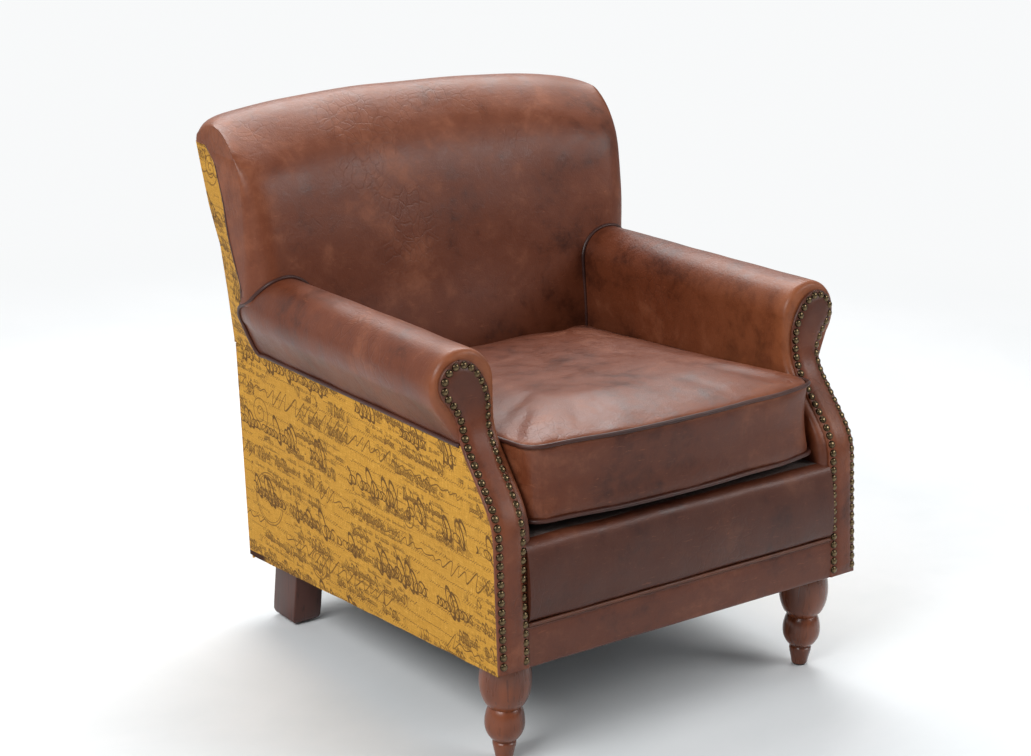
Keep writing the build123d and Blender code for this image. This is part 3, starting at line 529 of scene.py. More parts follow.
RING_MARKS = [
    ((0.455, 0.150), 0.021, 0.0013), ((0.455, 0.150), 0.0165, 0.0007), ((0.215, 0.300), 0.012, 0.0011),
    ((-0.16, 0.46), 0.024, 0.0013), ((-0.16, 0.46), 0.018, 0.0007), ((0.60, 0.205), 0.040, 0.0010),
    ((0.60, 0.205), 0.036, 0.0006),
]
SPIRAL_MARKS = [
    ((0.345, 0.225), 0.0105, 0.022), ((0.625, 0.335), 0.012, 0.027), ((0.105, 0.215), 0.009, 0.017),
    ((0.705, 0.690), 0.011, 0.026), ((0.690, 0.610), 0.010, 0.020), ((0.685, 0.545), 0.009, 0.016),
    ((0.05, 0.56), 0.012, 0.028), ((-0.22, 0.27), 0.0115, 0.026),
]


def printed_cloth():
    """Coarse mustard linen with a brown print of made-up pen strokes, curls and rings."""
    n = material_nodes("printed_linen")
    uv = n.add("UVMap", uv_map="cloth").outputs[0]
    split = n.add("SeparateXYZ", {0: uv})
    u, v = split.outputs[0], split.outputs[1]
    v_line = n.plus(v, n.times(n.minus(n.noise(uv, 3.0, 2.0), 0.5), 0.02))
    patch = n.noise(uv, 7.0, 1.0)
    big = loop_rows(n, u, v_line, 0.104, 0.0100, 0.0190, 0.00150, 0.45, 0.37, 0.44)
    waves = script_lines(n, u, n.plus(v_line, 0.046), 0.104, 0.021, 0.0130, 0.0014, 0.55, 2.3, 0.46)
    middle = loop_rows(n, u, n.plus(v_line, 0.013), 0.0312, 0.0042, 0.0078, 0.00095, 0.45, 1.93, 0.44)
    words = script_lines(n, u, n.plus(v_line, 0.004), 0.0156, 0.0052, 0.0024, 0.0007, 0.4, 2.9, 0.42)
    small = loop_rows(n, u, v_line, 0.0118, 0.0021, 0.0027, 0.00055, 0.35, 5.71, 0.42)
    layers = [
        (waves, 0.9), (middle, n.span(patch, 0.42, 0.47, 0.0, 0.9)),
        (words, n.span(patch, 0.50, 0.55, 0.8, 0.0)), (small, n.span(patch, 0.47, 0.52, 0.0, 0.75)),
    ]
    layers += [(ring_mark(n, u, v, *mark), 0.75) for mark in RING_MARKS]
    layers += [(spiral_mark(n, u, v, *mark), 0.75) for mark in SPIRAL_MARKS]
    ink = big
    for layer, share in layers:
        ink = n.most(ink, n.times(layer, share))
    ink = n.times(ink, n.span(n.noise(uv, 170.0, 3.0, 0.7), 0.25, 0.5, 0.6, 1.0))
    # The dark hem at the lower rear corner
    above = n.plus(n.minus(v, UNDERSIDE), n.times(u, tan(TILT)))
    strip = n.times(n.span(above, 0.0065, 0.0085, 1.0, 0.0), n.span(u, 0.60, 0.625))
    strip = n.times(strip, n.span(u, 0.69, 0.70, 1.0, 0.0))

    def threads(stretch, seed):
        moved = n.add("Mapping", {"Vector": uv, "Scale": stretch, "Location": (seed, seed, 0)})
        return n.noise(moved.outputs[0], 1.0, 3.0, 0.6)

    weft = threads((70.0, 640.0, 1.0), 3.0)
    warp = threads((640.0, 70.0, 1.0), 9.0)
    pitch = 2 * pi / 0.0017
    over = n.times(n.calc("SINE", n.times(u, pitch)), n.calc("SINE", n.times(v, pitch)))
    weave = n.plus(n.times(over, 0.22), n.times(n.plus(weft, warp), 0.5))
    color = n.mix(n.span(weave, 0.22, 0.78), (0.38, 0.170, 0.018), (0.72, 0.39, 0.065))
    slub = n.span(n.most(weft, warp), 0.62, 0.76)
    color = n.mix(n.times(slub, 0.5), color, (0.80, 0.52, 0.17))
    color = n.mix(n.span(n.noise(uv, 4.0, 2.0), 0.35, 0.7, 0.0, 0.25), color, (0.46, 0.24, 0.045))
    color = n.mix(n.times(ink, 0.88), color, (0.075, 0.032, 0.014))
    color = n.mix(strip, color, (0.045, 0.018, 0.011))
    normal = n.bump(weave, 0.45 * MM, 0.8)
    return n.done(color, 0.88, normal, Sheen_Weight=0.03, Sheen_Roughness=0.5, Specular_IOR_Level=0.1)


def timber(name, dark, light, axis_scale, rough, coat):
    """Polished wood: long grain streaks, pores and a thin coat of polish."""
    n = material_nodes(name)
    place = n.place(axis_scale)
    rings = n.noise(place, 9.0, 4.0, 0.6, 0.8)
    streak = n.noise(place, 60.0, 3.0, 0.6)
    grain = n.plus(n.times(rings, 0.6), n.times(streak, 0.4))
    color = n.mix(n.span(grain, 0.36, 0.64), dark, light)
    pores = n.span(n.noise(place, 240.0, 2.0, 0.5), 0.60, 0.72)
    color = n.mix(n.times(pores, 0.5), color, tuple(0.4 * c for c in dark))
    normal = n.bump(n.minus(streak, pores), 0.12 * MM, 0.4)
    rough = n.span(grain, 0.3, 0.7, *rough)
    return n.done(color, rough, normal, Coat_Weight=coat, Coat_Roughness=0.18)


def antique_brass():
    """Aged brass: bronze brown in the hollows, rubbed bright on the crowns."""
    n = material_nodes("antique_brass")
    spots = n.noise(n.place(), 500.0, 4.0, 0.65)
    rubbed = n.add("Attribute", attribute_name="tone").outputs["Fac"]
    worn = n.times(n.span(spots, 0.3, 0.65, 0.3, 1.0), rubbed, clamp=True)
    color = n.mix(worn, (0.020, 0.012, 0.006), (0.215, 0.150, 0.078))
    normal = n.bump(spots, 0.15 * MM, 0.5)
    return n.done(color, n.span(spots, 0.3, 0.7, 0.20, 0.34), normal, Metallic=0.95)


def plain_cloth(name, dark, light, pitch):
    """Woven cloth with a visible thread."""
    n = material_nodes(name)
    place = n.place()
    split = n.add("SeparateXYZ", {0: place})
    waves = [n.calc("SINE", n.times(split.outputs[k], 2 * pi / pitch)) for k in range(3)]
    over = n.plus(n.times(waves[0], waves[1]), n.times(waves[0], waves[2]))
    fuzz = n.noise(place, 90.0, 4.0, 0.6)
    color = n.mix(n.span(n.plus(n.times(over, 0.15), fuzz), 0.3, 0.7), dark, light)
    return n.done(color, 0.9, n.bump(over, 0.2 * MM, 0.6), Sheen_Weight=0.1)


def plain_solid(name, dark, light, rough, metallic=0.0):
    """A cast or turned surface with faint mottling."""
    n = material_nodes(name)
    speckle = n.noise(n.place(), 140.0, 4.0, 0.6)
    color = n.mix(n.span(speckle, 0.35, 0.65), dark, light)
    rough = n.span(speckle, 0.3, 0.7, rough * 0.85, rough * 1.15)
    return n.done(color, rough, n.bump(speckle, 0.1 * MM, 0.3), Metallic=metallic)


# Worn leather colour, also used to paint sheen and light
WEAR_AND_SHEEN = (0.29, 0.090, 0.032)
SHADED = (0.026, 0.010, 0.008)
# Painted shade for the crease lines
CREASE_SHADE = (0.045, 0.018, 0.012)
LEATHER = leather("leather", (0.046, 0.010, 0.004), (0.134, 0.033, 0.012), (0.26, 0.086, 0.040))
CORD_LEATHER = leather(
    "cord_leather", (0.018, 0.005, 0.004), (0.048, 0.014, 0.009), (0.10, 0.031, 0.018), 0.2,
)
LINEN = printed_cloth()
BRASS = antique_brass()
FRONT_WOOD = timber(
    "front_leg_wood", (0.085, 0.018, 0.005), (0.190, 0.046, 0.012), (1, 1, 0.12), (0.22, 0.34), 0.12,
)
REAR_WOOD = timber(
    "rear_leg_wood", (0.026, 0.008, 0.005), (0.080, 0.022, 0.013), (1, 1, 0.10), (0.40, 0.55), 0.04,
)
FRAME_WOOD = timber("beech", (0.46, 0.31, 0.17), (0.68, 0.50, 0.31), (0.2, 1, 1), (0.6, 0.75), 0.0)
WEBBING = plain_cloth("jute_webbing", (0.24, 0.17, 0.10), (0.46, 0.35, 0.22), 0.004)
DECK_CLOTH = plain_cloth("deck_cloth", (0.045, 0.022, 0.015), (0.075, 0.038, 0.025), 0.0012)
DUST_CLOTH = plain_cloth("dust_cloth", (0.012, 0.012, 0.013), (0.03, 0.03, 0.032), 0.0015)
STEEL = plain_solid("plated_steel", (0.42, 0.42, 0.43), (0.60, 0.60, 0.60), 0.35, 1.0)
NYLON = plain_solid("dark_nylon", (0.02, 0.018, 0.016), (0.045, 0.04, 0.036), 0.5)


def finished(obj, material, body, replaced):
    """Gives a piece its material and its body, and hides the node that it stands for."""
    obj.data.materials.clear()
    obj.data.materials.append(material)
    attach(obj, body)
    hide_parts(replaced)
    return obj


# Inside back

# Up the face and over the top: setback as a share of the depth, level, and shares of the
# hollow, the arch, the inset and the ends' drop
BACK_ROWS = [
    (0.712, 0.793, 0, 0, 1, 0),
    (0.722, 1.025, 0.6, 0, 1, 0),
    (0.738, 1.393, 0.9, 0.1, 0.8, 0),
    (0.769, 1.704, 1, 0.4, 0.4, 0.05),
    (0.818, 1.872, 0.9, 0.9, -0.1, 0.1),
    (0.903, 2, 0.5, 1, -0.6, 0.1),
    (0.952, 1.958, 0.8, 0.7, -0.6, 0.1),
    (0.975, 1.853, 0.8, 0.3, -0.5, 0),
]
BACK_FOOT = (0.5485, 0.262)
WING_INNER = 0.3
BOX_TOP = 0.488
FLARE_RISE = 0.022


def back_stations():
    """Places across the back as (x, inset), close together where its ends roll round."""
    flat = BACK_HALF - BACK_ROLL
    half = [(x, 0.0) for x in np.linspace(0, flat, 26, endpoint=False)]
    for turn in np.linspace(0, pi / 2, 14):
        half.append((flat + BACK_ROLL * sin(turn), BACK_ROLL * (1 - cos(turn))))
    return [(-x, inset) for x, inset in half[:0:-1]] + half


def back_ring(x, inset):
    """Side view of the inside back at a place across it, kept inside the box below its bend."""
    share = abs(x) / BACK_HALF
    drop = BACK_ARCH_SHARE * share**3
    ends = END_ROLL_SHARE * inset / BACK_ROLL
    hollow = BACK_HOLLOW * (1 - share**2)
    curve = [(BACK_FOOT[0] + inset, BACK_FOOT[1])]
    for a_share, z_level, hollow_share, arch, back, down in BACK_ROWS:
        a = a_share * DEPTH + hollow_share * hollow + back * inset
        curve.append((a, level(z_level) - (arch * drop + down * ends) * (HEIGHT - BEND)))
    curve = [tuple(p) for p in smooth_line(curve, 110)]
    seam_a = PAD_REAR_LINE[-1][0]
    rear_top = along(REAR_LINE, SEAM_HEIGHT) + PANEL - 0.5 * inset
    curve.append((rear_top, SEAM_HEIGHT + PANEL))
    seam = next(k for k, (a, z) in enumerate(curve) if z > SEAM_HEIGHT)
    base = []
    for k, (a, z) in enumerate(curve):
        if k < seam:
            rear = along(PAD_REAR_LINE, z)
            if abs(x) > WING_INNER and BEND < z:
                rear = min(rear, along(WING_A, z) - 1 * MM)
            base.append((max(rear, a + 1 * MM), z))
        else:
            share = (k - seam) / (len(curve) - 1 - seam)
            base.append((seam_a + (rear_top - 1 * MM - seam_a) * share, SEAM_HEIGHT))
    ring = []
    for a, z in curve + base[::-1]:
        flare = ramp(z - BOX_TOP, FLARE_RISE)
        inner = side_x(a) - PANEL - 1 * MM
        limit = inner + (BACK_HALF - inner) * flare * flare * (3 - 2 * flare)
        ring.append(at(copysign(min(abs(x), limit), x), a, z))
    return ring


def inside_back():
    """The inside back with its rolled top and ends. The end faces are not flat, so they are grids."""
    rings = [back_ring(x, inset) for x, inset in back_stations()]
    count = len(rings[0])
    verts = [p for ring in rings for p in ring]
    faces = grid_faces(len(rings), count, wrap=True)
    for start in (0, len(verts) - count):
        for k in range(count // 2 - 1):
            faces.append((start + k, start + k + 1, start + count - 2 - k, start + count - 1 - k))
    back = new_mesh("inside_back", verts, faces)
    sharpen(back, 48)
    displaced(back, 1.6 * MM, 9.0, 3.1)

    def tone(p):
        top = max(0.0, (p.z - 0.70) / 0.08)
        end = max(0.0, (abs(p.x) - 0.28) / 0.05)
        # Worn and lighter at the top roll and the ends; painted shade low on the back, just above the
        # cushion
        return min(0.65, 0.50 * top + 0.12 * end) - 0.25 * ramp(0.56 - p.z, 0.20)

    return toned(back, tone)


# Arms

def arm_section():
    """The arm drawn across: the roll from its outer seam round to the inner wall, (u, height)."""
    points = []
    for angle in np.linspace(radians(-40), pi, 40):
        points.append((ROLL_U + ROLL_RADIUS * cos(angle), ROLL_Z + ROLL_RADIUS * sin(angle)))
    wall = ROLL_U - ROLL_RADIUS
    points += [(wall, z) for z in np.linspace(ROLL_Z, ARM_LOW + 4 * MM, 18)[1:]]
    points += [(wall + 12 * MM, ARM_LOW), (-6 * MM, ARM_LOW), (-6 * MM, UNDERARM - 6 * MM)]
    points.append((1 * MM, UNDERARM))
    return points


ROLL_FOOT_OUT = Vector((0.766, -0.643))


def end_taper(u, a):
    """How far the outside of the roll is drawn in where it meets the back."""
    return 10 * MM * ramp(a - 0.555, 0.083) ** 1.5 * ramp(u - 0.005, 0.020)


def arm_front(height):
    """Setback of the arm's front behind its facing, at a height of its drawing."""
    return front_a(height - 0.1 * sin(FALL)) + FACING


def arm(side, back_tree):
    """An arm's padding, run back to the inside back, and the ring of points at its rear end."""
    section = arm_section()
    starts, ends = [], []
    for u, z in section:
        origin = arm_point(u, z, PROBE, side)
        heading = (arm_point(u, z, PROBE + 1, side) - origin).normalized()
        hit = back_tree.ray_cast(origin, heading)
        end = PROBE + (hit[0] - origin).length if hit[0] else ARM_END
        if u > ROLL_U:
            end = min(end, along(OUTER_END_LINE, z - 0.6 * sin(FALL)))
        starts.append(arm_front(z))
        ends.append(min(end, ARM_END) + 2 * MM)
    # The front end turns in behind the facing, round an eased edge
    edge = 9 * MM
    steps = [(26 * MM, 14 * MM), (24 * MM, 3 * MM), (20 * MM, -0.6 * MM), (14 * MM, -0.6 * MM)]
    steps += [(edge * (1 - cos(t)), edge * (1 - sin(t))) for t in np.linspace(pi / 2, 0, 6)]
    rings = []
    for inset, back_step in steps:
        ring = []
        for u, z in section:
            rise = z - ROLL_Z if u > ROLL_U else max(z, ROLL_Z) - ROLL_Z
            out = Vector((u - ROLL_U, rise)).normalized()
            if u > ROLL_U and z < ROLL_Z - ROLL_FOOT:
                out = ROLL_FOOT_OUT
            low = z - out.y * inset
            ring.append(arm_point(u - out.x * inset, low, arm_front(low) + back_step, side))
        rings.append(ring)
    for share in np.linspace(0, 1, 40)[1:]:
        ring = []
        for (u, z), start, end in zip(section, starts, ends):
            a = (start + edge) + (end - start - edge) * share
            ring.append(arm_point(u - end_taper(u, a), z, a, side))
        rings.append(ring)
    obj = rings_mesh(f"arm_{WORDS[side]}", rings, crease=50)
    displaced(obj, 1.3 * MM, 14.0, 5.0 + side)

    def tone(p):
        a = p.y - FRONT_Y
        front = max(0.0, 1 - (a - 0.105) / 0.03) if p.z > 0.45 else 0
        top = max(0.0, (p.z - 0.545) / 0.02)
        # The inner wall near the front is lighter: partly rubbed wear, partly painted light
        inner = 1.0 if abs(p.x) < 0.285 and p.z > 0.36 and p.y < 0.05 else 0.0
        along_arm = max(0.0, 1 - max(0.0, a - 0.16) / 0.22)
        rubbed = 0.55 * inner * along_arm * ramp(p.z - 0.36, 0.08)
        # Painted shade low on the arm, under the roll, and towards the back where the arm meets it
        dark = 0.30 * ramp(0.47 - p.z, 0.10) * (1 - inner) + 0.15 * ramp(a - 0.50, 0.08)
        return min(1.0, 0.75 * front + 0.3 * top + rubbed) - dark

    end_ring = [
        arm_point(u - end_taper(u, end), z, end - 2 * MM, side)
        for (u, z), end in zip(section, ends)
    ]
    return toned(obj, tone), end_ring


# Facings and nails

SCROLL = [
    (0.133, -1.20), (0.16, -0.90), (0.40, -0.42), (0.63, -0.10), (0.665, 0.20), (0.49, 0.48),
    (0.18, 0.61), (-0.16, 0.50), (-0.47, 0.10), (-0.64, -0.38), (-0.645, -1.20),
]
NAIL_LOW = UNDERSIDE + NAIL_PITCH
NAIL_OUTER_U = -NAIL_RADIUS + WELT / 2
NAIL_INNER_U = -0.039


def nail_line(count):
    """The nails' line seen from the front, (u, height), from the outer foot round to the inner."""
    drop = 0.105 * tan(FALL)
    points = [(NAIL_OUTER_U, NAIL_LOW), (NAIL_OUTER_U, 0.26), (NAIL_OUTER_U, 0.37)]
    points += [(ROLL_U + u * ROLL_RADIUS, ROLL_Z - drop + z * ROLL_RADIUS) for u, z in SCROLL]
    points += [(NAIL_INNER_U - 1 * MM, 0.37), (NAIL_INNER_U, 0.26), (NAIL_INNER_U, NAIL_LOW)]
    return smooth_line(points, count)


def front_heading(height):
    """Direction up the front of the arm, in (setback, height)."""
    step = 2 * MM
    rise = Vector((front_a(height + step) - front_a(height - step), 2 * step))
    return rise.normalized()


def facing_place(u, height, proud, side):
    """A point on a facing, standing proud of the bent front."""
    heading = front_heading(height)
    a = front_a(height) - proud * heading.y
    x = -BOX_HALF - u * cos(FLARE) + a * sin(FLARE)
    y = FRONT_Y + u * sin(FLARE) + a * cos(FLARE)
    return Vector((side * -x, y, height + proud * heading.x))


def facing(side):
    """The padded facing: domed in its middle, dented along its nails, thin at its rim."""
    margin = NAIL_RADIUS + 1.2 * MM
    rows, columns = 150, 18
    width = columns + 1
    line = nail_line(2 * rows)
    ahead = np.roll(line, -1, axis=0) - np.roll(line, 1, axis=0)
    ahead[0], ahead[-1] = line[1] - line[0], line[-1] - line[-2]
    ahead /= np.linalg.norm(ahead, axis=1)[:, None]
    edge = line + margin * np.stack([ahead[:, 1], -ahead[:, 0]], axis=1)
    edge[0, 1] = edge[-1, 1] = NAIL_LOW - 11 * MM
    shares = [0.5 - 0.5 * cos(pi * c / columns) for c in range(width)]
    verts = []
    for one, two in zip(edge[:rows], edge[::-1]):
        for share in shares:
            p = one + (two - one) * share
            near = min(np.linalg.norm(edge - p, axis=1).min(), (p[1] - edge[0, 1]) + 6 * MM)
            rise = min(near / (20 * MM), 1)
            proud = -1.5 * MM + 6.2 * MM * sqrt(1 - (1 - rise) ** 2)
            proud -= 2.0 * MM * bell(near - margin, 4.0 * MM)
            verts.append(facing_place(p[0], p[1], proud, side))
    faces = grid_faces(rows, width)
    rim = [r * width for r in range(rows)] + [r * width + columns for r in range(rows - 1, -1, -1)]
    rim += list(range(columns - 1, 0, -1))
    start = len(verts)
    foot = [edge[0] + (edge[-1] - edge[0]) * share for share in shares[columns - 1 : 0 : -1]]
    verts += [facing_place(u, z, -FACING + 0.2 * MM, side) for u, z in list(edge) + foot]
    for k in range(len(rim)):
        nxt = (k + 1) % len(rim)
        faces.append((rim[k], rim[nxt], start + nxt, start + k))
    for r in range(rows - 1):
        faces.append((start + r, start + r + 1, start + 2 * rows - 2 - r, start + 2 * rows - 1 - r))
    obj = new_mesh(f"facing_{WORDS[side]}", verts, faces)
    sharpen(obj, 55)
    # Painted highlight across the knee, where the front slants back; painted shade up the upright
    # scroll
    return toned(obj, lambda p: 0.30 * bell(p.z - 0.36, 0.05) - 0.50 * ramp(p.z - 0.47, 0.05) - 0.02)


def nails(side):
    """Domed nails at an even pitch along the bent facing, each nearly square to it."""
    line = nail_line(1200)
    places = [facing_place(u, z, 0, side) for u, z in line]
    walk = np.concatenate([[0], np.cumsum([(b - a).length for a, b in zip(places, places[1:])])])
    count = round(walk[-1] / NAIL_PITCH)
    around = 18
    dome = [(1.0, -1.4 * MM), (1.0, 0.0)]
    for t in np.linspace(0.18, pi / 2, 6, endpoint=False):
        dome.append((cos(t), NAIL_RISE * sin(t)))
    verts, faces, tones = [], [], []
    for number in range(count + 1):
        u, z = line[int(np.argmin(abs(walk - walk[-1] * number / count)))]
        heading = front_heading(z)
        up = Vector((0, heading.x, heading.y))
        out = Vector((0, -heading.y, heading.x))
        across = up.cross(out)
        lean = Vector((random.uniform(-0.05, 0.05), 0, random.uniform(-0.05, 0.05)))
        out = (out + lean).normalized()
        base = facing_place(u, z, 1.1 * MM, side)
        start = len(verts)
        for reach, rise in dome:
            for m in range(around):
                angle = 2 * pi * m / around
                radial = cos(angle) * across + sin(angle) * up
                verts.append(base + NAIL_RADIUS * reach * radial + out * rise)
                tones.append(1.1 * max(0.0, rise / NAIL_RISE) ** 1.6)
        verts.append(base + out * NAIL_RISE)
        tones.append(1.0)
        faces += grid_faces(len(dome), around, start, wrap=True)
        last = start + (len(dome) - 1) * around
        faces += [(last + m, last + (m + 1) % around, len(verts) - 1) for m in range(around)]
        faces.append(tuple(start + m for m in range(around))[::-1])
    obj = new_mesh(f"nails_{WORDS[side]}", verts, faces, weld=False)
    sharpen(obj, 50)
    return toned(obj, tones)


# Outside fabric

def cloth_grid(name, rows, uv_of, mark):
    """A sheet of cloth over a board, from rows of points, with its own drawing coordinates."""
    verts = [p for row in rows for p in row]
    obj = new_mesh(name, verts, grid_faces(len(rows), len(rows[0])))
    modifier_baked(obj, "SOLIDIFY", thickness=CLOTH, offset=mark, use_even_offset=True)
    layer = obj.data.uv_layers.new(name="cloth")
    for loop in obj.data.loops:
        layer.data[loop.index].uv = uv_of(obj.data.vertices[loop.vertex_index].co)
    return obj


def outside_panel(side):
    """The flat fabric beside the arm, then the strip that flares up the back."""
    swell = 6 * MM if side > 0 else 1.2 * MM
    mark = -1 if side > 0 else 1

    def side_uv(p):
        return (p.y - FRONT_Y) if side < 0 else 0.9 - (p.y - FRONT_Y), p.z

    rows = []
    for share in np.linspace(0, 1, 40):
        z_guess = UNDERSIDE + (UNDERARM - UNDERSIDE) * share
        front = front_a(z_guess) + 3 * MM
        rear = along(REAR_LINE, (z_guess - UNDERSIDE) + underside(0.68))
        row = []
        for c in np.linspace(0, 1, 30):
            a = front + (rear - front) * c
            low = underside(a) + 1.8 * MM * noise.noise(Vector((a * 22, side, 0.5)))
            high = UNDERARM - a * tan(FALL) - 0.6 * MM
            sag = swell * min(1.0, 9 * c) * (1 - c) * sin(pi * share) ** 0.6
            row.append(at(side * (side_x(a) - 0.4 * MM + sag), a, low + (high - low) * share))
        rows.append(row)
    flat = cloth_grid("panel", rows, side_uv, mark)
    rows = []
    for z in np.linspace(UNDERARM - ARM_END * tan(FALL), SEAM_HEIGHT - 1 * MM, 60):
        front_x, front_edge = along(WING_X, z), along(WING_A, z)
        rear_x, rear = along(CORNER_LINE, z), along(REAR_LINE, z)
        rows.append([
            at(side * (front_x + (rear_x - front_x) * c), front_edge + (rear - front_edge) * c, z)
            for c in np.linspace(0, 1, 8)
        ])
    wing = cloth_grid("wing", rows, side_uv, mark)
    whole = joined(f"outside_{WORDS[side]}", [flat, wing])
    sharpen(whole, 40)
    return whole


def outside_back():
    """The outside back, a little full in its middle and soft at its side edges."""
    low = 0.090
    rows = []
    for share in np.linspace(0, 1, 60):
        z = low + (SEAM_HEIGHT + 3 * MM - low) * share
        rear = along(REAR_LINE, z)
        half = along(CORNER_LINE, z)
        if z < 0.43:
            half = min(half, side_x(rear))
        row = []
        for c in np.linspace(-1, 1, 41):
            soft = 6 * MM * max(0.0, abs(c) - 0.96) / 0.04
            bulge = 3 * MM * (1 - c * c) * sin(pi * share)
            row.append(at(c * half, rear - soft + bulge, z))
        rows.append(row)
    obj = cloth_grid("outside_back", rows, lambda p: (p.x - 0.9, p.z), 1)
    sharpen(obj, 40)
    return obj


# Cushion

# Rise above the seat's underside and inset, in mm
CUSHION_LEVELS = [
    (172.0, 40), (177.0, 20), (183.0, 8), (190.0, 0), (202.0, 1.2), (215.0, 2.6), (240.0, 3.5),
    (265.0, 2.6), (278.0, 1.2), (290.0, 0), (296.0, 7), (300.0, 14), (304.5, 24), (308.0, 34),
    (311.0, 48), (314.0, 68), (316.4, 95), (317.5, 130), (318.0, 170), (318.0, 205),
]
CUSHION_SEAMS = (("bottom", 190), ("top", 290))
CUSHION_FRONT = 5 * MM
CUSHION_REAR = 520.5 * MM
CUSHION_BOW = 18 * MM
CUSHION_GAP = 63.7 * MM
CUSHION_CORNER = 30 * MM
CUSHION_POINTS = 232
CLOTH_SETTINGS = {
    "quality": 5, "mass": 0.3, "tension_stiffness": 18, "compression_stiffness": 12,
    "shear_stiffness": 8, "bending_stiffness": 1.2, "use_pressure": True,
    "uniform_pressure_force": 4, "vertex_group_mass": "held",
}
CLOTH_FRAMES = 18


def cushion_ring(rise, inset):
    """The cushion's outline at a rise, drawn in by an inset, with an even spread of points."""
    front, rear = CUSHION_FRONT + inset, CUSHION_REAR - inset
    front_x = side_x(front) - CUSHION_GAP - inset
    rear_x = side_x(rear) - CUSHION_GAP - inset
    bow = CUSHION_BOW * (1 - inset / 0.34)
    corner = max(CUSHION_CORNER - inset * 0.1, 12 * MM)
    turns = [(sin(t * pi / 2), cos(t * pi / 2)) for t in (0.25, 0.5, 0.75)]
    flank = [
        (front_x + (rear_x - front_x) * s, front + (rear - front) * s)
        for s in (0.07, 0.3, 0.5, 0.7, 0.93)
    ]
    points = []
    for k in range(13):
        s = -1 + k / 6
        points.append((s * (front_x - corner * 0.9), front - bow * (1 - s * s) * 0.97))
    points += [(front_x - corner + corner * s, front + corner - corner * c) for s, c in turns]
    points += flank
    points += [(rear_x - corner + corner * c, rear - corner + corner * s) for s, c in turns]
    points += [(s * (rear_x - corner), rear) for s in (1, 0.5, 0, -0.5, -1)]
    points += [(-(rear_x - corner + corner * s), rear - corner + corner * c) for s, c in turns]
    points += [(-x, b) for x, b in flank[::-1]]
    points += [(-(front_x - corner + corner * c), front + corner - corner * s) for s, c in turns]
    ring = smooth_line(points, CUSHION_POINTS, closed=True)
    wave = [1.7 * MM * noise.noise(Vector((x * 13, b * 13, 4.4))) for x, b in ring]
    return [at(x, *seat_point(b, rise + lift)) for (x, b), lift in zip(ring, wave)]


def cushion():
    rings = [cushion_ring(rise * MM, inset * MM) for rise, inset in CUSHION_LEVELS]
    obj = rings_mesh("cushion", rings, crease=50)
    simulate(obj, cap=4 * MM, voxel=6 * MM)
    displaced(obj, 1.5 * MM, 11.0, 1.3)

    def tone(p):
        b = (p.y - FRONT_Y) / cos(TILT)
        rise = (p.z - UNDERSIDE + b * sin(TILT)) / cos(TILT)
        # Painted sheen on the top near the front, painted shade on the front boxing, worn lighter
        # along the top seam
        front = 0.18 * max(0.0, 1 - b / 0.35) if rise > 0.30 else 0.0
        box = 0.50 * max(0.0, 1 - abs(b) / 0.05) if rise < 0.286 else 0.0
        return 0.5 * bell(rise - 0.292, 0.006) + front - box

    return toned(obj, tone)


def simulate(obj, cap, voxel):
    """Lets the cover swell and settle as stuffed leather, its seams held."""
    modifier_baked(obj, "REMESH", mode="VOXEL", voxel_size=voxel, use_smooth_shade=True)
    seams = [p for _, rise in CUSHION_SEAMS for p in cushion_ring(rise * MM, 0)]
    near = BVHTree.FromPolygons(
        seams + [p + Vector((0, 0, 1e-5)) for p in seams],
        [(k, k + 1, k + len(seams)) for k in range(len(seams) - 1) if (k + 1) % CUSHION_POINTS],
    )
    group = obj.vertex_groups.new(name="held")
    for v in obj.data.vertices:
        found = near.find_nearest(v.co)
        if found[0] and found[3] < 5 * MM:
            group.add([v.index], 1.0, "REPLACE")
    start = [v.co.copy() for v in obj.data.vertices]
    cloth = obj.modifiers.new("cloth", "CLOTH")
    for key, value in CLOTH_SETTINGS.items():
        setattr(cloth.settings, key, value)
    cloth.settings.effector_weights.gravity = 0
    for number in range(1, CLOTH_FRAMES + 1):
        scene.frame_set(number)
    held = obj.evaluated_get(bpy.context.evaluated_depsgraph_get()).to_mesh()
    moved = [v.co.copy() for v in held.vertices]
    obj.modifiers.clear()
    scene.frame_set(1)
    for v, before, after in zip(obj.data.vertices, start, moved):
        step = after - before
        v.co = before + step * min(1.0, cap / max(step.length, 1e-9))
    obj.vertex_groups.clear()
    modifier_baked(obj, "SMOOTH", factor=0.5, iterations=5)
    modifier_baked(obj, "SUBSURF", levels=1, render_levels=1)
    obj.data.polygons.foreach_set("use_smooth", [True] * len(obj.data.polygons))


# Front of the seat

FRONT_HALF = 0.2678


def across_piece(name, section):
    """A padded piece across the front, with one section all the way."""
    rings = [[at(x, a, z) for a, z in section] for x in np.linspace(-FRONT_HALF, FRONT_HALF, 60)]
    return rings_mesh(name, rings, crease=50)


def seat_line(count, *points):
    """A smooth line through points given in mm, as depth and rise in the leaning seat box."""
    return [tuple(p) for p in smooth_line([seat_point(b * MM, rise) for b, rise in points], count)]


BORDER = seat_line(
    40, (2, SEAM_RISE + 1.5 * MM), (-4.5, SEAM_RISE + 9 * MM), (-8.5, SEAM_RISE + 32 * MM),
    (-9, SEAM_RISE + 60 * MM), (-6.5, SEAM_RISE + 88 * MM), (-2, DECK_RISE - 8 * MM),
    (5, DECK_RISE - 1.5 * MM), (12, DECK_RISE),
) + [seat_point(12 * MM, SEAM_RISE + 1 * MM)]
BAND = seat_line(
    30, (10, 0.3 * MM), (3, 0), (0.3, 2 * MM), (-0.8, 14 * MM), (-1.2, 30 * MM),
    (-0.6, 46 * MM), (1.5, SEAM_RISE - 3 * MM), (10, SEAM_RISE - 1 * MM),
)


# Legs

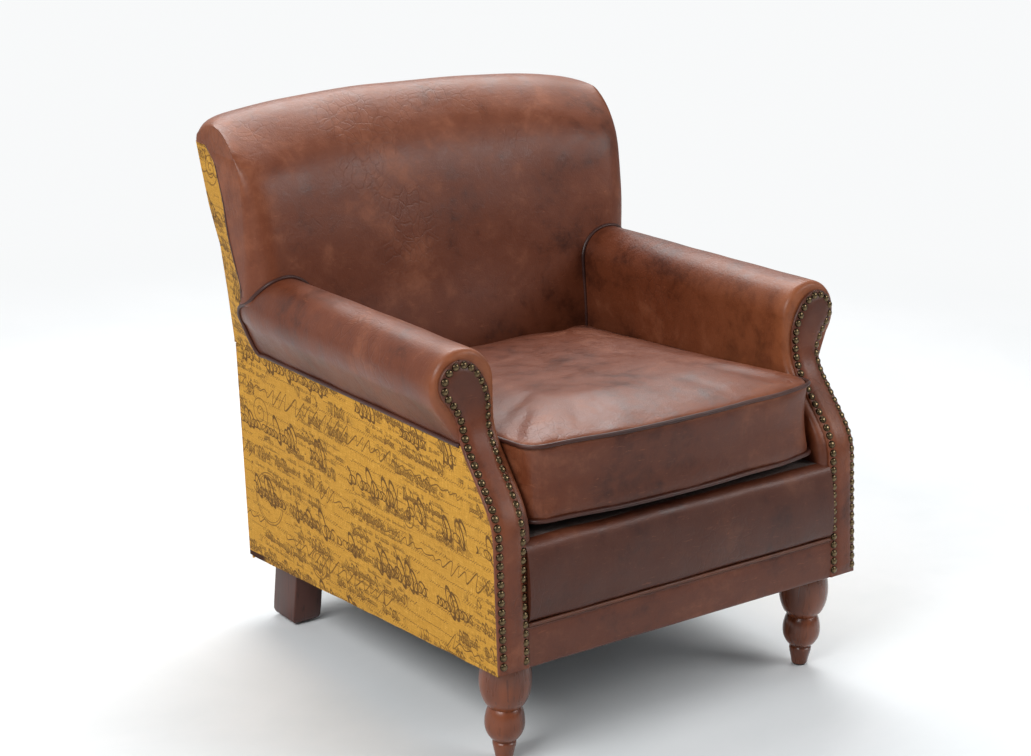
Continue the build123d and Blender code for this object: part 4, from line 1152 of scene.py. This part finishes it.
def turned_leg(side):
    """Front leg: slim foot, collar, small bulb, groove and large bulb."""
    bulb = 0.0355
    full = underside(LEG_A)
    profile = [(0.318, LEG_FOOT), (0.335, 0.005)]
    for radius, share in (
        (0.36, 0.07), (0.44, 0.155), (0.452, 0.172), (0.45, 0.19), (0.405, 0.203), (0.40, 0.21),
    ):
        profile.append((radius, share * full))
    for radius, low, high, neck_below, neck_above in (
        (0.768, 0.212, 0.535, 0.41, 0.60), (1.0, 0.545, 1.03, 0.62, 0.80),
    ):
        for t in np.linspace(0, 1, 15):
            neck = neck_below if t < 0.5 else neck_above
            wide = sin(pi * t) ** 0.62
            profile.append((neck + (radius - neck) * wide, (low + (high - low) * t) * full))
    centre = at(side * LEG_X, LEG_A, 0)
    rings = []
    for radius, z in profile:
        ring = []
        for k in range(48):
            angle = 2 * pi * k / 48
            x, y = radius * bulb * cos(angle), radius * bulb * sin(angle)
            ring.append(centre + Vector((x, y, min(z, underside(LEG_A + y) + LEG_TUCK))))
        rings.append(ring)
    return rings_mesh(f"front_leg_{WORDS[side]}", rings, crease=35)


def raked_leg(side):
    """Rear leg: square timber raked backwards, with softened edges."""
    width, deep, ease = 0.048, 0.062, 2.2 * MM
    corners = ((-1, -1, pi), (1, -1, 1.5 * pi), (1, 1, 0), (-1, 1, 0.5 * pi))
    rings = []
    for share, shrink in ((0, 6), (0.03, 2.2), (0.08, 0.4), (0.2, 0), (0.6, 0), (1, 0)):
        ring = []
        for sx, sy, start in corners:
            for k in range(5):
                turn = start + pi / 2 * (k / 4)
                cx = sx * (width / 2 - ease - shrink * MM) + ease * cos(turn)
                cy = sy * (deep / 2 - ease - shrink * MM) + ease * sin(turn)
                top = underside(REAR_LEG_A + cy) + LEG_TUCK
                z = LEG_FOOT + (top - LEG_FOOT) * share
                rake = (z - LEG_FOOT) * tan(LEG_RAKE)
                ring.append(at(side * REAR_LEG_X + cx, REAR_LEG_A + cy - rake, z))
        rings.append(ring)
    return rings_mesh(f"rear_leg_{WORDS[side]}", rings, crease=30)


# The dressed chair

CHAIR, CUSHION = "chair", "seat_cushion"


def corded(name, points, radius, count, node, body=CHAIR, tone=0.0, closed=False):
    """A seam's cord, in its leather."""
    welt = toned(cord(name, points, radius, count, closed), lambda p: tone)
    finished(welt, CORD_LEATHER, body, node)


back = finished(inside_back(), LEATHER, CHAIR, "inside_back_pad")
back_tree = BVHTree.FromObject(back, bpy.context.evaluated_depsgraph_get())

for side, word in WORDS.items():
    arm_piece, arm_edge = arm(side, back_tree)
    finished(arm_piece, LEATHER, CHAIR, f"{word}_arm_pad")
    finished(facing(side), LEATHER, CHAIR, f"{word}_arm_facing")
    finished(nails(side), BRASS, CHAIR, f"{word}_nail_trim")
    finished(outside_panel(side), LINEN, CHAIR, f"{word}_outside_panel")

    # Cord under the roll, up round the rear end of the arm and over to the inner wall
    route = [
        arm_point(2.6 * MM, UNDERARM - 0.6 * MM, a, side)
        for a in (0.097, 0.2, 0.32, 0.44, 0.55, 0.60, 0.628)
    ]
    centre = arm_point(ROLL_U, ROLL_Z, 0.6, side)
    for place in arm_edge[1:52:3]:
        away = place - centre
        away.y = 0
        route.append(place + away.normalized() * 1.2 * MM)
    corded(f"arm_cord_{word}", route, WELT, 220, f"{word}_underarm_welt")

    route = []
    for z in (0.514, 0.535, 0.570, 0.605, 0.650, 0.680, 0.705, 0.722):
        inset = 3.4 * MM if z < 0.7 else 4.5 * MM
        route.append(at(side * (BACK_HALF - inset), along(WING_A, z) + WELT * 0.6, z))
    route.append(at(side * (BACK_HALF - 9 * MM), 0.722, SEAM_HEIGHT + 1.5 * MM))
    route.append(at(side * (BACK_HALF - 11 * MM), 0.738, SEAM_HEIGHT + 2.5 * MM))
    corded(f"back_cord_{word}", route, WELT, 90, f"{word}_back_welt")

    finished(turned_leg(side), FRONT_WOOD, CHAIR, f"{word}_front_leg")
    finished(raked_leg(side), REAR_WOOD, CHAIR, f"{word}_rear_leg")

finished(outside_back(), LINEN, CHAIR, "outside_back_panel")

seat = finished(cushion(), LEATHER, CUSHION, "seat_cushion")
for name, rise in CUSHION_SEAMS:
    ring = cushion_ring(rise * MM, 0)[::2]
    node_name = f"cushion_{name}_welt"
    corded(f"cushion_cord_{name}", ring, WELT * 0.95, 300, node_name, CUSHION, closed=True)

border = across_piece("front_border", BORDER)
displaced(border, 1.6 * MM, 16.0, 2.2)
# Painted shade over the whole front border, lighter along its top edge
toned(border, lambda p: 0.25 * bell(p.z - 0.318, 0.008) - 0.60)
finished(border, LEATHER, CHAIR, "front_rail_border")
band = across_piece("front_band", BAND)
# Painted shade over the band, lighter near its top edge
toned(band, lambda p: 0.12 * bell(p.z - 0.205, 0.006) - 0.3)
finished(band, LEATHER, CHAIR, "front_rail_band")
a, z = seat_point(-0.6 * MM, SEAM_RISE)
route = [at(x, a, z) for x in np.linspace(-FRONT_HALF, FRONT_HALF, 9)]
corded("front_cord", route, WELT * 0.9, 120, "front_rail_welt", tone=0.35)

# CAD pieces that stay as they are
KEPT = {
    FRAME_WOOD: [
        "back_post", "arm_post", "side_seat_rail", "arm_rail", "arm_tack_rail",
        "front_seat_rail", "rear_seat_rail", "back_crest_rail", "back_lower_rail", "corner_blocks",
    ],
    WEBBING: ["seat_cross_webbing", "seat_long_webbing", "back_long_webbing", "back_cross_webbing"],
    DECK_CLOTH: ["seat_deck"],
    DUST_CLOTH: ["dust_cover"],
    STEEL: ["leg_bolts"],
    NYLON: ["leg_glides"],
}
for material, names in KEPT.items():
    for name in names:
        for node_name in (name, "right_" + name, "left_" + name):
            if node_name in nodes:
                nodes[node_name].data.materials.clear()
                nodes[node_name].data.materials.append(material)

# Studio

corners = [(-16, -16, 0), (16, -16, 0), (16, 16, 0), (-16, 16, 0)]
floor = new_mesh("floor", corners, [(0, 1, 2, 3)], smooth=False)
n = material_nodes("studio_floor")
scuff = n.span(n.noise(n.place(), 2.2, 6.0, 0.6, 0.5), 0.3, 0.7)
floor.data.materials.append(n.done(n.mix(scuff, (0.80, 0.83, 0.84), (0.86, 0.88, 0.89)), 0.7))
# Away from the chair the camera sees the floor as the plain backdrop
away = n.add("VectorMath", {0: n.place()}, operation="LENGTH").outputs["Value"]
share = n.times(n.add("LightPath").outputs["Is Camera Ray"], n.span(away, 0.9, 2.6))
glow = n.add("Emission", {"Color": (0.94, 0.95, 0.955, 1), "Strength": 1.0}).outputs[0]
blended = n.add("MixShader", {0: share, 1: n.shader.outputs[0], 2: glow}).outputs[0]
output = next(node for node in n.tree.nodes if node.type == "OUTPUT_MATERIAL")
n.put(output.inputs["Surface"], blended)

# The camera sees a white wall, and so do glossy surfaces towards the chair's rear
scene.world = bpy.data.worlds.new("studio")
n = Nodes(scene.world)
n.tree.nodes.clear()
rays = n.add("LightPath").outputs
rearward = n.add("SeparateXYZ", {0: n.add("TexCoord").outputs["Generated"]}).outputs["Y"]
behind = n.span(rearward, -0.1, 0.5, 0.0, 0.6, shape="LINEAR")
share = n.most(rays["Is Camera Ray"], n.times(rays["Is Glossy Ray"], behind))
fill = n.add("Background", {0: (0.95, 0.97, 1.0, 1), 1: 0.29}).outputs[0]
wall = n.add("Background", {0: (0.955, 0.96, 0.965, 1), 1: 1.0}).outputs[0]
n.add("OutputWorld", {0: n.add("MixShader", {0: share, 1: fill, 2: wall}).outputs[0]})


def lamp(name, place, target, size, power):
    light = bpy.data.lights.new(name, "AREA")
    light.shape = "RECTANGLE"
    light.size, light.size_y = size
    light.energy = power
    obj = linked(name, light)
    obj.location = place
    obj.rotation_euler = (Vector(target) - Vector(place)).to_track_quat("-Z", "Y").to_euler()


lamp("key", (-2.6, -0.9, 2.5), (0, 0, 0.4), (1.9, 1.3), 82)
lamp("top", (0.9, 1.5, 2.7), (0, 0, 0.5), (2.4, 1.5), 84)
lamp("front", (2.0, -2.3, 2.1), (0, 0, 0.5), (1.5, 1.1), 36)

# Camera: measured from the straight edges of the chair in the photograph

FOCAL_PIXELS, PHOTO_WIDTH = 2200, 1031
heading, dip, roll = 0.63601, 0.30942, 0.01759
forward = Vector((sin(heading) * cos(dip), cos(heading) * cos(dip), -sin(dip)))
right = Vector((cos(heading), -sin(heading), 0))
up = right.cross(forward)
right, up = right * cos(roll) + up * sin(roll), up * cos(roll) - right * sin(roll)
camera = linked("camera", bpy.data.cameras.new("camera"))
camera.data.sensor_width = 36
camera.data.lens = FOCAL_PIXELS * camera.data.sensor_width / PHOTO_WIDTH
camera.data.clip_end = 50
camera.matrix_world = Matrix((
    (right.x, up.x, -forward.x, -1.83255),
    (right.y, up.y, -forward.y, -2.46084),
    (right.z, up.z, -forward.z, 1.37920),
    (0, 0, 0, 1),
))
scene.camera = camera
scene.view_settings.view_transform = "Standard"
